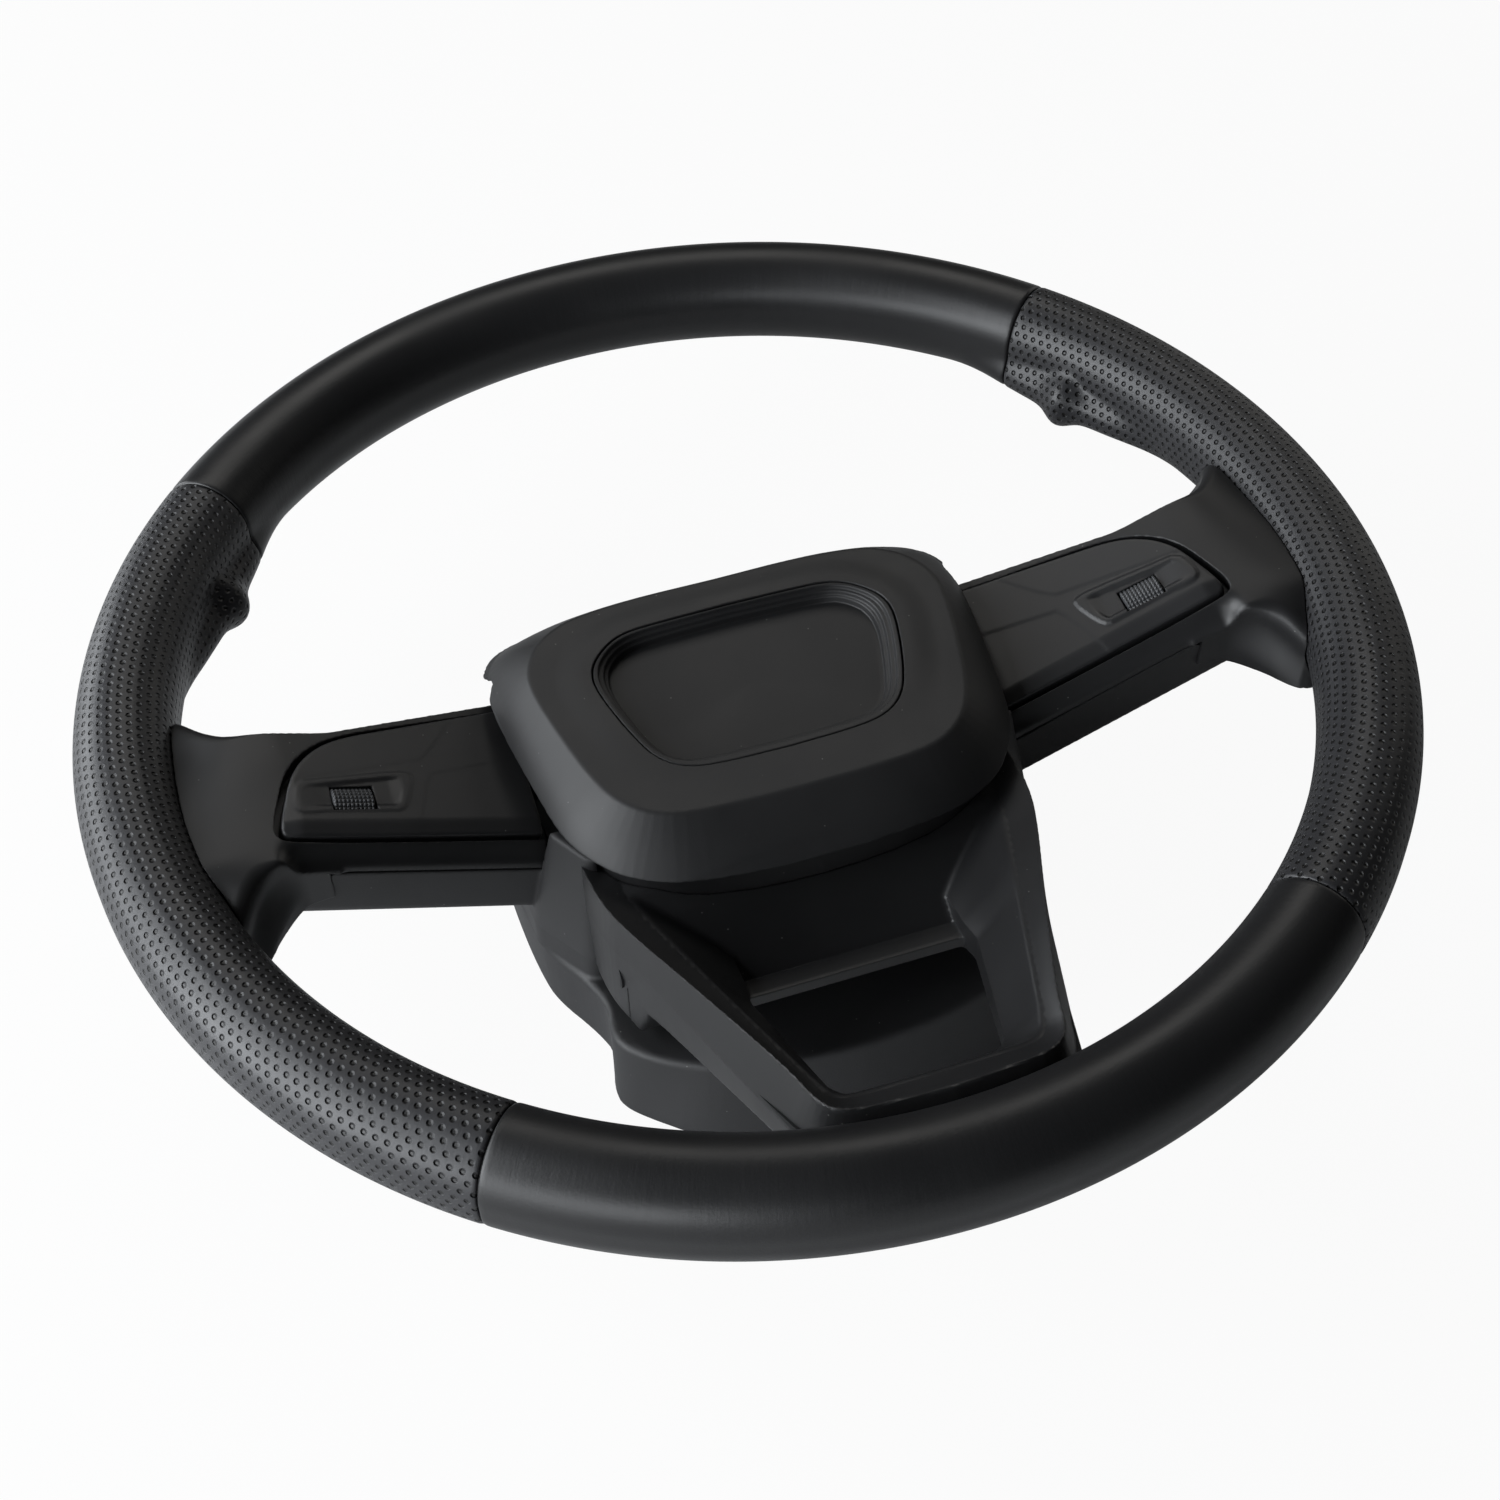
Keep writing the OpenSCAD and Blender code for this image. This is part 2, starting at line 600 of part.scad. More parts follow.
module airbag_cushion() {
    color([0.8, 0.8, 0.78]) at_rim() difference() {
        translate([0, 0, plate_z + plate_t + 2]) linear_extrude(cover_floor - plate_z - plate_t - 2 - fit_gap)
            outline([[51, 20], [42, -46]], [12, 12]);
        translate([0, inflator_y, plate_z]) cylinder(r = inflator_r + 0.5, h = inflator_h - 3.5);
        for (s = [-1, 1]) translate([s * 46 - 1.5, -21, plate_z - 5]) cube([3, 36, 12]);
    }
}
module guide_pins() {
    color([0.75, 0.75, 0.72]) at_rim() for (p = pin_places) translate([p[0], p[1], 0]) {
        translate([0, 0, lug_z - pin_head_t - fit_gap]) cylinder(r = pin_head_r, h = pin_head_t);
        translate([0, 0, lug_z - fit_gap - 0.2]) cylinder(r = pin_r, h = plate_z + plate_t - lug_z + fit_gap + 0.2);
    }
}
// A spring is a wire swept along its helix, closed at both ends
spring_r = 6;
wire_r = 0.6;
spring_turns = 4;
spring_low = hub_top + wire_r;
spring_high = plate_z - wire_r - 0.05;
module coil_spring() {
    sides = 6;
    per_turn = 14;
    rings = spring_turns * per_turn;
    function ring(i) = let (a = 360 * i / per_turn, c = [spring_r * cos(a), spring_r * sin(a),
        spring_low + (spring_high - spring_low) * i / rings])
        [for (k = [0:sides - 1]) let (b = 360 * k / sides)
            c + wire_r * [cos(b) * cos(a), cos(b) * sin(a), sin(b)]];
    pts = [for (i = [0:rings]) each ring(i)];
    faces = concat([[for (k = [sides - 1:-1:0]) k]],
        [for (i = [0:rings - 1], k = [0:sides - 1]) let (n = (k + 1) % sides)
            [i * sides + n, (i + 1) * sides + n, (i + 1) * sides + k, i * sides + k]],
        [[for (k = [0:sides - 1]) rings * sides + k]]);
    polyhedron(points = pts, faces = faces, convexity = 6);
}
module horn_springs() {
    color([0.7, 0.7, 0.7]) at_rim() for (p = pin_places) translate([p[0], p[1], 0]) coil_spring();
}

// The switch pods, drawn for the right spoke
ring_up = 0.5;
function ring_outline(d) = rounded([[-2 + d * 1.6, -5.4 - d], [29.6 - d, -8.2 - d], [32.2 - d, -17.5],
    [29.4 - d * 0.6, -19.2 + d], [2.4 + d, -18.6 + d]], [2.5, 3, 2, 2, 3]);
module switch_face() {
    color(plastic_col) on_spoke(1) difference() {
        union() {
            translate([0, 0, -face_skirt]) linear_extrude(face_skirt) polygon(pod_outline(0));
            translate([0, 0, -1]) linear_extrude(1 + ring_up) polygon(ring_outline(0));
        }
        // A shallow dish inside the ring holds the roller's window
        translate([0, 0, -ring_up]) linear_extrude(3) polygon(ring_outline(1.6));
        translate([0, 0, -face_skirt - 1]) linear_extrude(face_skirt + 1 - face_t) polygon(pod_outline(-1.6));
        translate([roller_u - roller_len / 2 - 0.35, roller_v, -roller_drop]) rotate([0, 90, 0])
            cylinder(r = roller_r + 0.35, h = roller_len + 0.7);
    }
}
module switch_housing() {
    color([0.2, 0.2, 0.2]) on_spoke(1) difference() {
        translate([0, 0, housing_low]) linear_extrude(housing_top - housing_low) polygon(pod_outline(-0.4));
        translate([0, 0, housing_low + housing_wall]) linear_extrude(20) polygon(pod_outline(-2));
    }
}
board_t = 1.6;
board_l = 2 - pod_end;
module circuit_board() {
    color([0.1, 0.35, 0.2]) on_spoke(1) {
        translate([pod_end + 3, -22, housing_low + housing_wall]) cube([board_l, 28, board_t]);
        for (p = [[0.18, -14], [0.55, -6], [0.76, -18]])
            translate([pod_end + 3 + p[0] * board_l, p[1], housing_low + housing_wall + board_t]) cube([5, 5, 1.5]);
    }
}
module roller_cradle() {
    color([0.3, 0.3, 0.3]) on_spoke(1) difference() {
        union() {
            for (s = [-1, 1]) translate([roller_u + s * (roller_len / 2 + 0.3 + ear_t / 2) - ear_t / 2,
                roller_v - 3.5, cradle_low]) cube([ear_t, 7, axle_r + 0.3 - roller_drop - cradle_low]);
            translate([roller_u - roller_len / 2 - 0.3 - ear_t, roller_v - 6.6, cradle_low])
                cube([roller_len + 0.6 + 2 * ear_t, 13.2, cradle_base]);
        }
        translate([roller_u - 20, roller_v, -roller_drop]) rotate([0, 90, 0])
            cylinder(r = axle_r + 0.05, h = 40);
    }
}
module thumb_roller() {
    color([0.25, 0.25, 0.25]) on_spoke(1) translate([roller_u, roller_v, -roller_drop]) rotate([0, 90, 0])
        union() {
            difference() {
                cylinder(r = roller_r, h = roller_len, center = true);
                for (a = [0:20:340]) rotate([0, 0, a]) translate([roller_r + 0.15, 0, 0])
                    rotate([0, 0, 45]) cube([0.9, 0.9, 20], center = true);
            }
            cylinder(r = axle_r, h = roller_len + 0.6 + 2 * ear_t, center = true);
        }
}
module left() {
    mirror([1, 0, 0]) children();
}

armature();
rim_foam();
leather_top();
leather_bottom();
left() side_leather();  // leather_left
side_leather();  // leather_right
left() bezel();  // bezel_left
bezel();  // bezel_right
lower_bezel();
rear_cover();
cover_screws();
airbag_cover();
retainer_plate();
inflator();
inflator_nuts();
airbag_cushion();
guide_pins();
horn_springs();
left() switch_housing();  // switch_housing_left
switch_housing();  // switch_housing_right
left() circuit_board();  // circuit_board_left
circuit_board();  // circuit_board_right
left() switch_face();  // switch_face_left
switch_face();  // switch_face_right
left() roller_cradle();  // roller_cradle_left
roller_cradle();  // roller_cradle_right
left() thumb_roller();  // thumb_roller_left
thumb_roller();  // thumb_roller_right
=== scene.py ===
# %% [markdown]
# Car steering wheel: the dressed model.
# Every length in the cells is in millimetres unless its name says otherwise, and the frame is
# the CAD frame: +Z towards the driver, +Y to the top of the wheel, origin in the hub bore.
# %%
import math

import bpy
import numpy as np
from mathutils import Matrix, Vector


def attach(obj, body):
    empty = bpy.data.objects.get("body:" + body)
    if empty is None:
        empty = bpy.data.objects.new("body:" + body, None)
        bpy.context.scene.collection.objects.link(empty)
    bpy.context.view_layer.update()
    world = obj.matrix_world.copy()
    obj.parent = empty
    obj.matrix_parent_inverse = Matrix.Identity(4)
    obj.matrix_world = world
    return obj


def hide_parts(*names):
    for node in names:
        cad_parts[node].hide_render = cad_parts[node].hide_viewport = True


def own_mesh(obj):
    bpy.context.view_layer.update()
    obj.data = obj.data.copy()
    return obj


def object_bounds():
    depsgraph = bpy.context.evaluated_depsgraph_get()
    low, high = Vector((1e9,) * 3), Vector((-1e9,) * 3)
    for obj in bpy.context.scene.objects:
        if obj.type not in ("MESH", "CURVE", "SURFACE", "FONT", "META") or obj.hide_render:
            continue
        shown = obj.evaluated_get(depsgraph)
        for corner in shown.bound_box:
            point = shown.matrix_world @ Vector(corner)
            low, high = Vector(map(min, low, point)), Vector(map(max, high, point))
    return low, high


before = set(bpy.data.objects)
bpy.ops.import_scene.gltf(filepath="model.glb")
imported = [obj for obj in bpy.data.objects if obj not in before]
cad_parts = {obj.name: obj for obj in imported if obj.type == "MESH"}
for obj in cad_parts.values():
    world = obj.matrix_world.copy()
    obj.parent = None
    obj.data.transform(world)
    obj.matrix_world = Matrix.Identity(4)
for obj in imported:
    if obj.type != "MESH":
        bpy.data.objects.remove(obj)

cad_box = [list(c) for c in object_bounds()]
print("CAD box in metres:", cad_box)

# %% [markdown]
# ## Numbers shared with the CAD model
# The rim's middle plane lies 62 mm above the hub bore's mouth. The rim's section is a round of
# 13.8 mm radius that is stretched by 1.86 mm each way along the wheel's axis. The seams of the
# leather lie 39.5 degrees above and 52 degrees below the spokes, and the horn travels 2.5 mm.
# %%
MM = 0.001
RIM_Z = 62.0
RIM_R = 172.0
RIM_HALF = 13.8
RIM_RISE = 1.86
SEAM_HI = 39.5
SEAM_LO = 52.0
print("quick look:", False)

# %% [markdown]
# ## Camera
# The camera was fitted to the photograph's rim and to features that the wheel has on both
# sides, because a ring of known shape fixes a camera better than any single point. Its three
# axes are the columns of the matrix, and its place is in metres, as Blender counts.
# %%
cam_data = bpy.data.cameras.new("camera")
cam_data.lens = 55.01
cam_data.sensor_width = 36.0
cam = bpy.data.objects.new("camera", cam_data)
bpy.context.scene.collection.objects.link(cam)
cam_right = (0.94729, -0.31959, -0.02240)
cam_up = (0.25203, 0.70022, 0.66796)
cam_back = (-0.19779, -0.63839, 0.74386)
cam_at = (-0.13252, -0.42934, 0.52503)
cam.matrix_world = Matrix([
    [cam_right[i], cam_up[i], cam_back[i], cam_at[i]] for i in range(3)] + [[0, 0, 0, 1]])
bpy.context.scene.camera = cam
print("camera at", [round(c, 4) for c in cam_at])

# %% [markdown]
# ## Small helpers for materials
# A colour is written as the hex value that one would pick on a screen, but a shader counts in
# linear light, so one function turns it. Another adds a node with its settings and its links,
# where a name made of an underscore and a digit is a socket's number. The others start a surface,
# fix a cloudy pattern to the piece, and stretch a pattern to the range that a shader needs.
# %%
def linear(hex_colour):
    out = []
    for i in (0, 2, 4):
        c = int(hex_colour[i:i + 2], 16) / 255.0
        out.append(c / 12.92 if c <= 0.04045 else ((c + 0.055) / 1.055) ** 2.4)
    return (*out, 1.0)


def add(tree, kind, settings=None, **inputs):
    node = tree.nodes.new("ShaderNode" + kind)
    for key, value in (settings or {}).items():
        setattr(node, key, value)
    for key, value in inputs.items():
        socket = node.inputs[int(key[1:])] if key[1:].isdigit() else node.inputs[key.replace("_", " ")]
        if isinstance(value, bpy.types.NodeSocket):
            tree.links.new(value, socket)
        else:
            socket.default_value = value
    return node


def surface(name, colour, roughness, ior=1.5, metallic=0.0, **extra):
    mat = bpy.data.materials.new(name)
    mat.use_nodes = True
    tree = mat.node_tree
    tree.nodes.clear()
    out = tree.nodes.new("ShaderNodeOutputMaterial")
    shader = tree.nodes.new("ShaderNodeBsdfPrincipled")
    shader.inputs["Base Color"].default_value = linear(colour)
    shader.inputs["Roughness"].default_value = roughness
    shader.inputs["IOR"].default_value = ior
    shader.inputs["Metallic"].default_value = metallic
    for key, value in extra.items():
        shader.inputs[key.replace("_", " ")].default_value = value
    tree.links.new(shader.outputs[0], out.inputs[0])
    return mat, tree, shader


def place(tree):
    return add(tree, "TexCoord").outputs["Object"]


def noise(tree, to_the_metre, detail, roughness=0.5):
    """A cloudy pattern fixed to the piece, by its number of blobs to the metre."""
    return add(tree, "TexNoise", Vector=place(tree), Scale=to_the_metre, Detail=detail,
               Roughness=roughness).outputs["Fac"]


def spread(tree, pattern, low, high, **ends):
    """A pattern stretched so that its range runs from low to high."""
    return add(tree, "MapRange", Value=pattern, To_Min=low, To_Max=high, **ends).outputs[0]


def maths(tree, operation, *values):
    slots = {"_" + str(i): value for i, value in enumerate(values)}
    return add(tree, "Math", {"operation": operation}, **slots).outputs[0]


def bumps(tree, strength, metres, height, below=None):
    """Turns the normal by a height pattern of this depth, on top of the bumps below it."""
    more = {} if below is None else {"Normal": below}
    return add(tree, "Bump", Strength=strength, Distance=metres, Height=height, **more).outputs[0]


print("helpers for materials are ready")

# %% [markdown]
# ## Moulded plastics
# The covers are injection moulded in a plastic such as ABS, coloured all through. The mould's wall
# is eroded, which leaves a grain about 0.4 mm across and a satin face. A noise gives the grain,
# a slow one changes the gloss over some centimetres as handling does, and a third adds scuffs.
# Fine pale dust lies on the photographed wheel, so a Voronoi pattern sets a grain of it here and
# there. The edges of CAD solids are rounded in the shading by the radius that a mould leaves.
# %%
# One point of the dust pattern lies in each cube of 5.3 mm, and a grain shows where a point is
# within 0.2 mm of the surface, about three times in ten square centimetres
DUST_TO_THE_METRE = 190.0
DUST_SHARE = 0.45
DUST_COLOUR = "9a9a96"


def moulded(name, colour, roughness, grain_mm=0.4, grain=0.12, edge_mm=0.5, wear=0.05):
    mat, tree, shader = surface(name, colour, roughness)
    fine = noise(tree, 1000.0 / grain_mm, 2.0, 0.6)
    slow = noise(tree, 28.0, 3.0, 0.55)
    scuff = noise(tree, 420.0, 6.0, 0.75)
    gloss = spread(tree, slow, roughness - wear, roughness + wear, From_Min=0.3, From_Max=0.7)
    dulled = spread(tree, scuff, 0.0, 0.10, From_Min=0.66, From_Max=0.74)
    tree.links.new(maths(tree, "ADD", gloss, dulled), shader.inputs["Roughness"])
    tone = add(tree, "MixRGB", _0=slow, _1=linear(colour),
               _2=tuple(min(1.0, c * 1.25) for c in linear(colour)[:3]) + (1.0,))
    grains = add(tree, "TexVoronoi", {"feature": "F1"}, Vector=place(tree), Scale=DUST_TO_THE_METRE)
    speck = spread(tree, grains.outputs["Distance"], DUST_SHARE, 0.0, From_Min=0.022, From_Max=0.04)
    dusted = add(tree, "MixRGB", _0=speck, _1=tone.outputs[0], _2=linear(DUST_COLOUR))
    tree.links.new(dusted.outputs[0], shader.inputs["Base Color"])
    rounded = add(tree, "Bevel", {"samples": 4}, Radius=edge_mm * MM).outputs[0]
    tree.links.new(bumps(tree, grain, 0.0001, fine, rounded), shader.inputs["Normal"])
    return mat


# The cover's soft skin is dull and the bezels, lower spoke and faces have a satin sheen. The rear
# cover shows the coarsest grain, and the rollers stand out by a shade of grey
mat_cover = moulded("soft_touch_cover", "181819", 0.50, grain_mm=0.35, grain=0.25)
mat_bezel = moulded("satin_bezel_plastic", "1b1b1c", 0.42, grain_mm=0.5, grain=0.08)
mat_lower = moulded("satin_lower_plastic", "1c1c1d", 0.38, grain_mm=0.5, grain=0.10)
mat_rear = moulded("grained_rear_plastic", "1e1e1f", 0.52, grain_mm=0.6, grain=0.35, edge_mm=1.8)
mat_face = moulded("black_switch_plastic", "222223", 0.38, grain_mm=0.3, grain=0.10, wear=0.04)
mat_roller = moulded("grey_roller_plastic", "3a3b3d", 0.38, grain_mm=0.3, grain=0.08, edge_mm=0.1)
plastics = (mat_cover, mat_bezel, mat_lower, mat_rear, mat_face, mat_roller)
print("plastics:", [m.name for m in plastics])

# %% [markdown]
# ## Leather
# Both leathers are black hides with a pigmented satin top coat. The smooth one has a pebble grain
# of about 0.8 mm and long shallow creases across the rim, where hands have stretched it. The
# side leathers carry pierced dimples, staggered, 3.1 mm apart. Real holes would cost millions of
# faces, so each dimple is a bump whose middle is painted dark, as painted shade of a hole, laid
# out in the UV map that the rim's mesh gives in true millimetres along the rim and round its section.
# %%
HOLE_PITCH = 3.1
ROW_PITCH = HOLE_PITCH * 1.732
# From the middle of a dimple outwards, where its bowl and where its painted hole shade begin and end
BOWL, HOLE_SHADE = (0.34, 0.90), (0.40, 0.66)


def leather(name, colour, roughness, pierced):
    mat, tree, shader = surface(name, colour, roughness, ior=1.48)
    uv = add(tree, "UVMap", {"uv_map": "millimetres"})
    pebble = add(tree, "TexVoronoi", {"feature": "F1"}, Vector=place(tree), Scale=1300.0)
    fine = noise(tree, 900.0, 4.0, 0.6)
    slow = noise(tree, 22.0, 3.0)
    gloss = spread(tree, slow, roughness - 0.05, roughness + 0.06, From_Min=0.3, From_Max=0.7)
    tree.links.new(gloss, shader.inputs["Roughness"])
    bump = bumps(tree, 0.10, 0.00012, pebble.outputs["Distance"])
    bump = bumps(tree, 0.12, 0.0001, fine, bump)
    # Long soft creases run across the rim where hands have stretched the hide
    stretched = add(tree, "Mapping", Vector=uv.outputs[0], Scale=(0.35, 0.045, 1.0),
                    Rotation=(0.0, 0.0, 0.35))
    crease = add(tree, "TexNoise", Vector=stretched.outputs[0], Scale=1.0, Detail=5.0, Roughness=0.7)
    bump = bumps(tree, 0.10, 0.0008, crease.outputs["Fac"], bump)
    if pierced:
        part = add(tree, "SeparateXYZ", Vector=uv.outputs[0])
        # Two square lattices, shifted by half a step, make the staggered one
        holes = []
        for shift in (0.0, 0.5):
            legs = []
            for axis, size in ((0, HOLE_PITCH), (1, ROW_PITCH)):
                turn = maths(tree, "MULTIPLY_ADD", part.outputs[axis], 1.0 / size, shift)
                off = maths(tree, "SUBTRACT", maths(tree, "FRACT", turn), 0.5)
                legs.append(maths(tree, "MULTIPLY", off, size))
            gather = add(tree, "CombineXYZ", X=legs[0], Y=legs[1])
            far = add(tree, "VectorMath", {"operation": "LENGTH"}, _0=gather.outputs[0])
            holes.append(far.outputs["Value"])
        near = maths(tree, "MINIMUM", *holes)
        bowl, hole_shade = [add(tree, "MapRange", {"interpolation_type": "SMOOTHSTEP"}, Value=near,
                         From_Min=low, From_Max=high) for low, high in (BOWL, HOLE_SHADE)]
        bump = bumps(tree, 1.0, 0.0011, bowl.outputs[0], bump)
        # The middle of each dimple is painted dark: painted shade in place of the shadow down a real
        # hole
        tone = add(tree, "MixRGB", _0=hole_shade.outputs[0], _1=linear("060606"), _2=linear(colour))
        tree.links.new(tone.outputs[0], shader.inputs["Base Color"])
    tree.links.new(bump, shader.inputs["Normal"])
    return mat


# The pierced leather's colour is a shade lighter, so that the painted shade in its holes doesn't make it
# the blacker one
mat_smooth = leather("smooth_black_leather", "19191a", 0.40, False)
mat_pierced = leather("pierced_black_leather", "28282a", 0.42, True)
print("leathers:", mat_smooth.name, mat_pierced.name)

# %% [markdown]
# ## Metals, foam, cloth and board
# These are inside the wheel and show only from behind or through a gap: the die casting with a
# black coat, zinc plated pressed steel, spring wire, coated screws, the moulded foam and the
# circuit boards. A metal keeps the default IOR, and a noise in its roughness shows the uneven
# face that casting and plating leave.
# %%
def metal(name, colour, roughness, scale=90.0):
    mat, tree, shader = surface(name, colour, roughness, metallic=1.0)
    gloss = spread(tree, noise(tree, scale, 5.0), roughness - 0.1, roughness + 0.12)
    tree.links.new(gloss, shader.inputs["Roughness"])
    tree.links.new(bumps(tree, 0.2, 0.0001, noise(tree, 1500.0, 3.0)), shader.inputs["Normal"])
    return mat


# The coat leaves the casting dark with a soft sheen, zinc is pale and cloudy, the spring wire
# has tighter highlights, and the foam has no shine
mat_cast = metal("black_coated_die_casting", "303132", 0.5)
mat_zinc = metal("zinc_plated_steel", "b0b2ad", 0.34, 200.0)
mat_spring = metal("spring_steel", "8c8d8f", 0.3, 300.0)
mat_screw = moulded("black_coated_steel", "161617", 0.35, grain_mm=0.3, grain=0.1, edge_mm=0.2)
mat_foam = moulded("moulded_foam", "1a1a1a", 0.7, grain_mm=1.2, grain=0.5)
mat_board = moulded("circuit_board", "0d3a22", 0.4, grain_mm=2.0, grain=0.1, edge_mm=0.1)
print("metals:", mat_cast.name, mat_zinc.name, mat_spring.name)

# %% [markdown]
# ## Nylon cloth
# The airbag is uncoloured nylon, woven plain and folded flat. Two crossed wave patterns make the
# weave, drawn coarser than the real threads so that it shows.
# %%
def woven_nylon():
    mat, tree, shader = surface("folded_nylon_cloth", "c9c6ba", 0.8, Sheen_Weight=0.3)
    warp, weft = [add(tree, "TexWave", {"bands_direction": way}, Vector=place(tree), Scale=550.0)
                  for way in ("X", "Y")]
    weave = maths(tree, "MULTIPLY", warp.outputs["Fac"], weft.outputs["Fac"])
    tree.links.new(bumps(tree, 0.4, 0.0002, weave), shader.inputs["Normal"])
    return mat


mat_nylon = woven_nylon()
print("cloth:", mat_nylon.name)

# %% [markdown]
# ## Meshes from numbers
# Two ways make the meshes here. A loft joins rings of points, which suits the rim and the
# rollers. A field gives each point its signed distance to a form, negative inside, and its skin is
# the surface where the field is zero. Two fields join with smin and cut with smax, and their last
# value is the width of the blend in millimetres, as a mould's fillet would be. Modelled by hand,
# the same blends would need many loops of faces.
# %%
def link_mesh(name, points, faces, mat, body, normals=None, uv=None, replaces=()):
    me = bpy.data.meshes.new(name)
    me.from_pydata((np.asarray(points) * MM).tolist(), [], np.asarray(faces).tolist())
    me.update()
    me.polygons.foreach_set("use_smooth", [True] * len(me.polygons))
    if uv is not None:
        layer = me.uv_layers.new(name="millimetres")
        layer.data.foreach_set("uv", np.asarray(uv, dtype=np.float32).ravel())
    if normals is not None:
        me.normals_split_custom_set(np.asarray(normals).reshape(-1, 3).tolist())
    obj = bpy.data.objects.new(name, me)
    bpy.context.scene.collection.objects.link(obj)
    obj.data.materials.append(mat)
    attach(obj, body)
    if replaces:
        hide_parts(*replaces)
    print(name, len(me.vertices), "points,", len(me.polygons), "faces")
    return obj


def ring_quads(rings, n):
    """The faces of a loft through closed rings of n points, by the numbers of their corners."""
    i, j = np.meshgrid(np.arange(rings - 1), np.arange(n), indexing="ij")
    k = (j + 1) % n
    return np.stack([i * n + j, i * n + k, (i + 1) * n + k, (i + 1) * n + j], -1).reshape(-1, 4)


# %%
def smin(a, b, k):
    h = np.clip(0.5 + 0.5 * (b - a) / k, 0.0, 1.0)
    return b * (1 - h) + a * h - k * h * (1 - h)


def smax(a, b, k):
    return -smin(-a, -b, k)


def step(x, a, b):
    t = np.clip((x - a) / (b - a), 0.0, 1.0)
    return t * t * (3 - 2 * t)


print("blends are ready")

# %% [markdown]
# ## Outlines
# An outline is a short list of points. poly gives the signed distance to it, and table works that
# out once on a fine grid and reads it with a smooth curve between the grid's points, which is
# quicker and leaves no facets on the walls. Cutting the corners twice turns the points into a
# smooth curve.
# %%
def poly(x, y, pts):
    """Signed distance to a closed outline, negative inside."""
    p = np.asarray(pts, dtype=float)
    best = np.full(np.shape(x), 1e18)
    inside = np.zeros(np.shape(x), dtype=bool)
    for i in range(len(p)):
        ax, ay = p[i]
        bx, by = p[(i + 1) % len(p)]
        ex, ey = bx - ax, by - ay
        wx, wy = x - ax, y - ay
        t = np.clip((wx * ex + wy * ey) / (ex * ex + ey * ey + 1e-12), 0, 1)
        best = np.minimum(best, (wx - ex * t) ** 2 + (wy - ey * t) ** 2)
        cross = ex * wy - ey * wx
        up = (ay <= y) & (by > y) & (cross > 0)
        down = (ay > y) & (by <= y) & (cross < 0)
        inside ^= up | down
    return np.where(inside, -1.0, 1.0) * np.sqrt(best)


def table(pts, rounds=2, cell=0.5, margin=14.0):
    """Signed distance to an outline, read from a fine table. Each round cuts the corners."""
    p = np.asarray(pts, float)
    for _ in range(rounds):
        q = np.roll(p, -1, 0)
        p = np.stack([0.75 * p + 0.25 * q, 0.25 * p + 0.75 * q], 1).reshape(-1, 2)
    low = p.min(0) - margin
    n = np.ceil((p.max(0) + margin - low) / cell).astype(int) + 1
    grid = np.meshgrid(*[low[i] + cell * np.arange(n[i]) for i in (0, 1)], indexing="ij")
    value = poly(*grid, p)

    def weights(t):
        return (((-0.5 * t + 1.0) * t - 0.5) * t, (1.5 * t - 2.5) * t * t + 1.0,
                ((-1.5 * t + 2.0) * t + 0.5) * t, (0.5 * t - 0.5) * t * t)

    def at(x, y):
        fx, fy = np.clip((x - low[0]) / cell, 1, n[0] - 3), np.clip((y - low[1]) / cell, 1, n[1] - 3)
        beyond = np.hypot(x - low[0] - fx * cell, y - low[1] - fy * cell)
        ix, iy = fx.astype(int), fy.astype(int)
        wx, wy = weights(fx - ix), weights(fy - iy)
        total = beyond
        for a in range(4):
            for b in range(4):
                total = total + wx[a] * wy[b] * value[ix + a - 1, iy + b - 1]
        return total
    at.points = p
    return at


print("outlines are ready")

# %% [markdown]
# ## The skin of a field
# The skin is found on a grid. Each point keeps the field's own normal, so that blends stay smooth
# and creases stay crisp on quite large faces.
# %%
def sample(field, low, count, cell, block=5):
    """The field on a grid. Blocks far from its surface keep the value at their middle."""
    many = -(-count // block)
    mid = [low[i] + cell * (np.arange(many[i]) * block + (block - 1) / 2) for i in range(3)]
    coarse = field(*np.meshgrid(*mid, indexing="ij"))
    f = coarse.repeat(block, 0).repeat(block, 1).repeat(block, 2)
    near = np.stack(np.nonzero(np.abs(coarse) < cell * block * 1.3), -1)
    ramp = np.stack(np.meshgrid(*[np.arange(block)] * 3, indexing="ij"), -1).reshape(-1, 3)
    for i in range(0, len(near), 1500):
        at = (near[i:i + 1500, None] * block + ramp[None]).reshape(-1, 3)
        f[at[:, 0], at[:, 1], at[:, 2]] = field(*(low + cell * at).T)
    return f[:count[0], :count[1], :count[2]]


def gradient(field, p, e):
    g = np.empty_like(p)
    for i in range(3):
        d = np.zeros(3)
        d[i] = e
        g[:, i] = (field(*(p + d).T) - field(*(p - d).T)) / (2 * e)
    return g / np.maximum(np.linalg.norm(g, axis=1), 1e-9)[:, None]


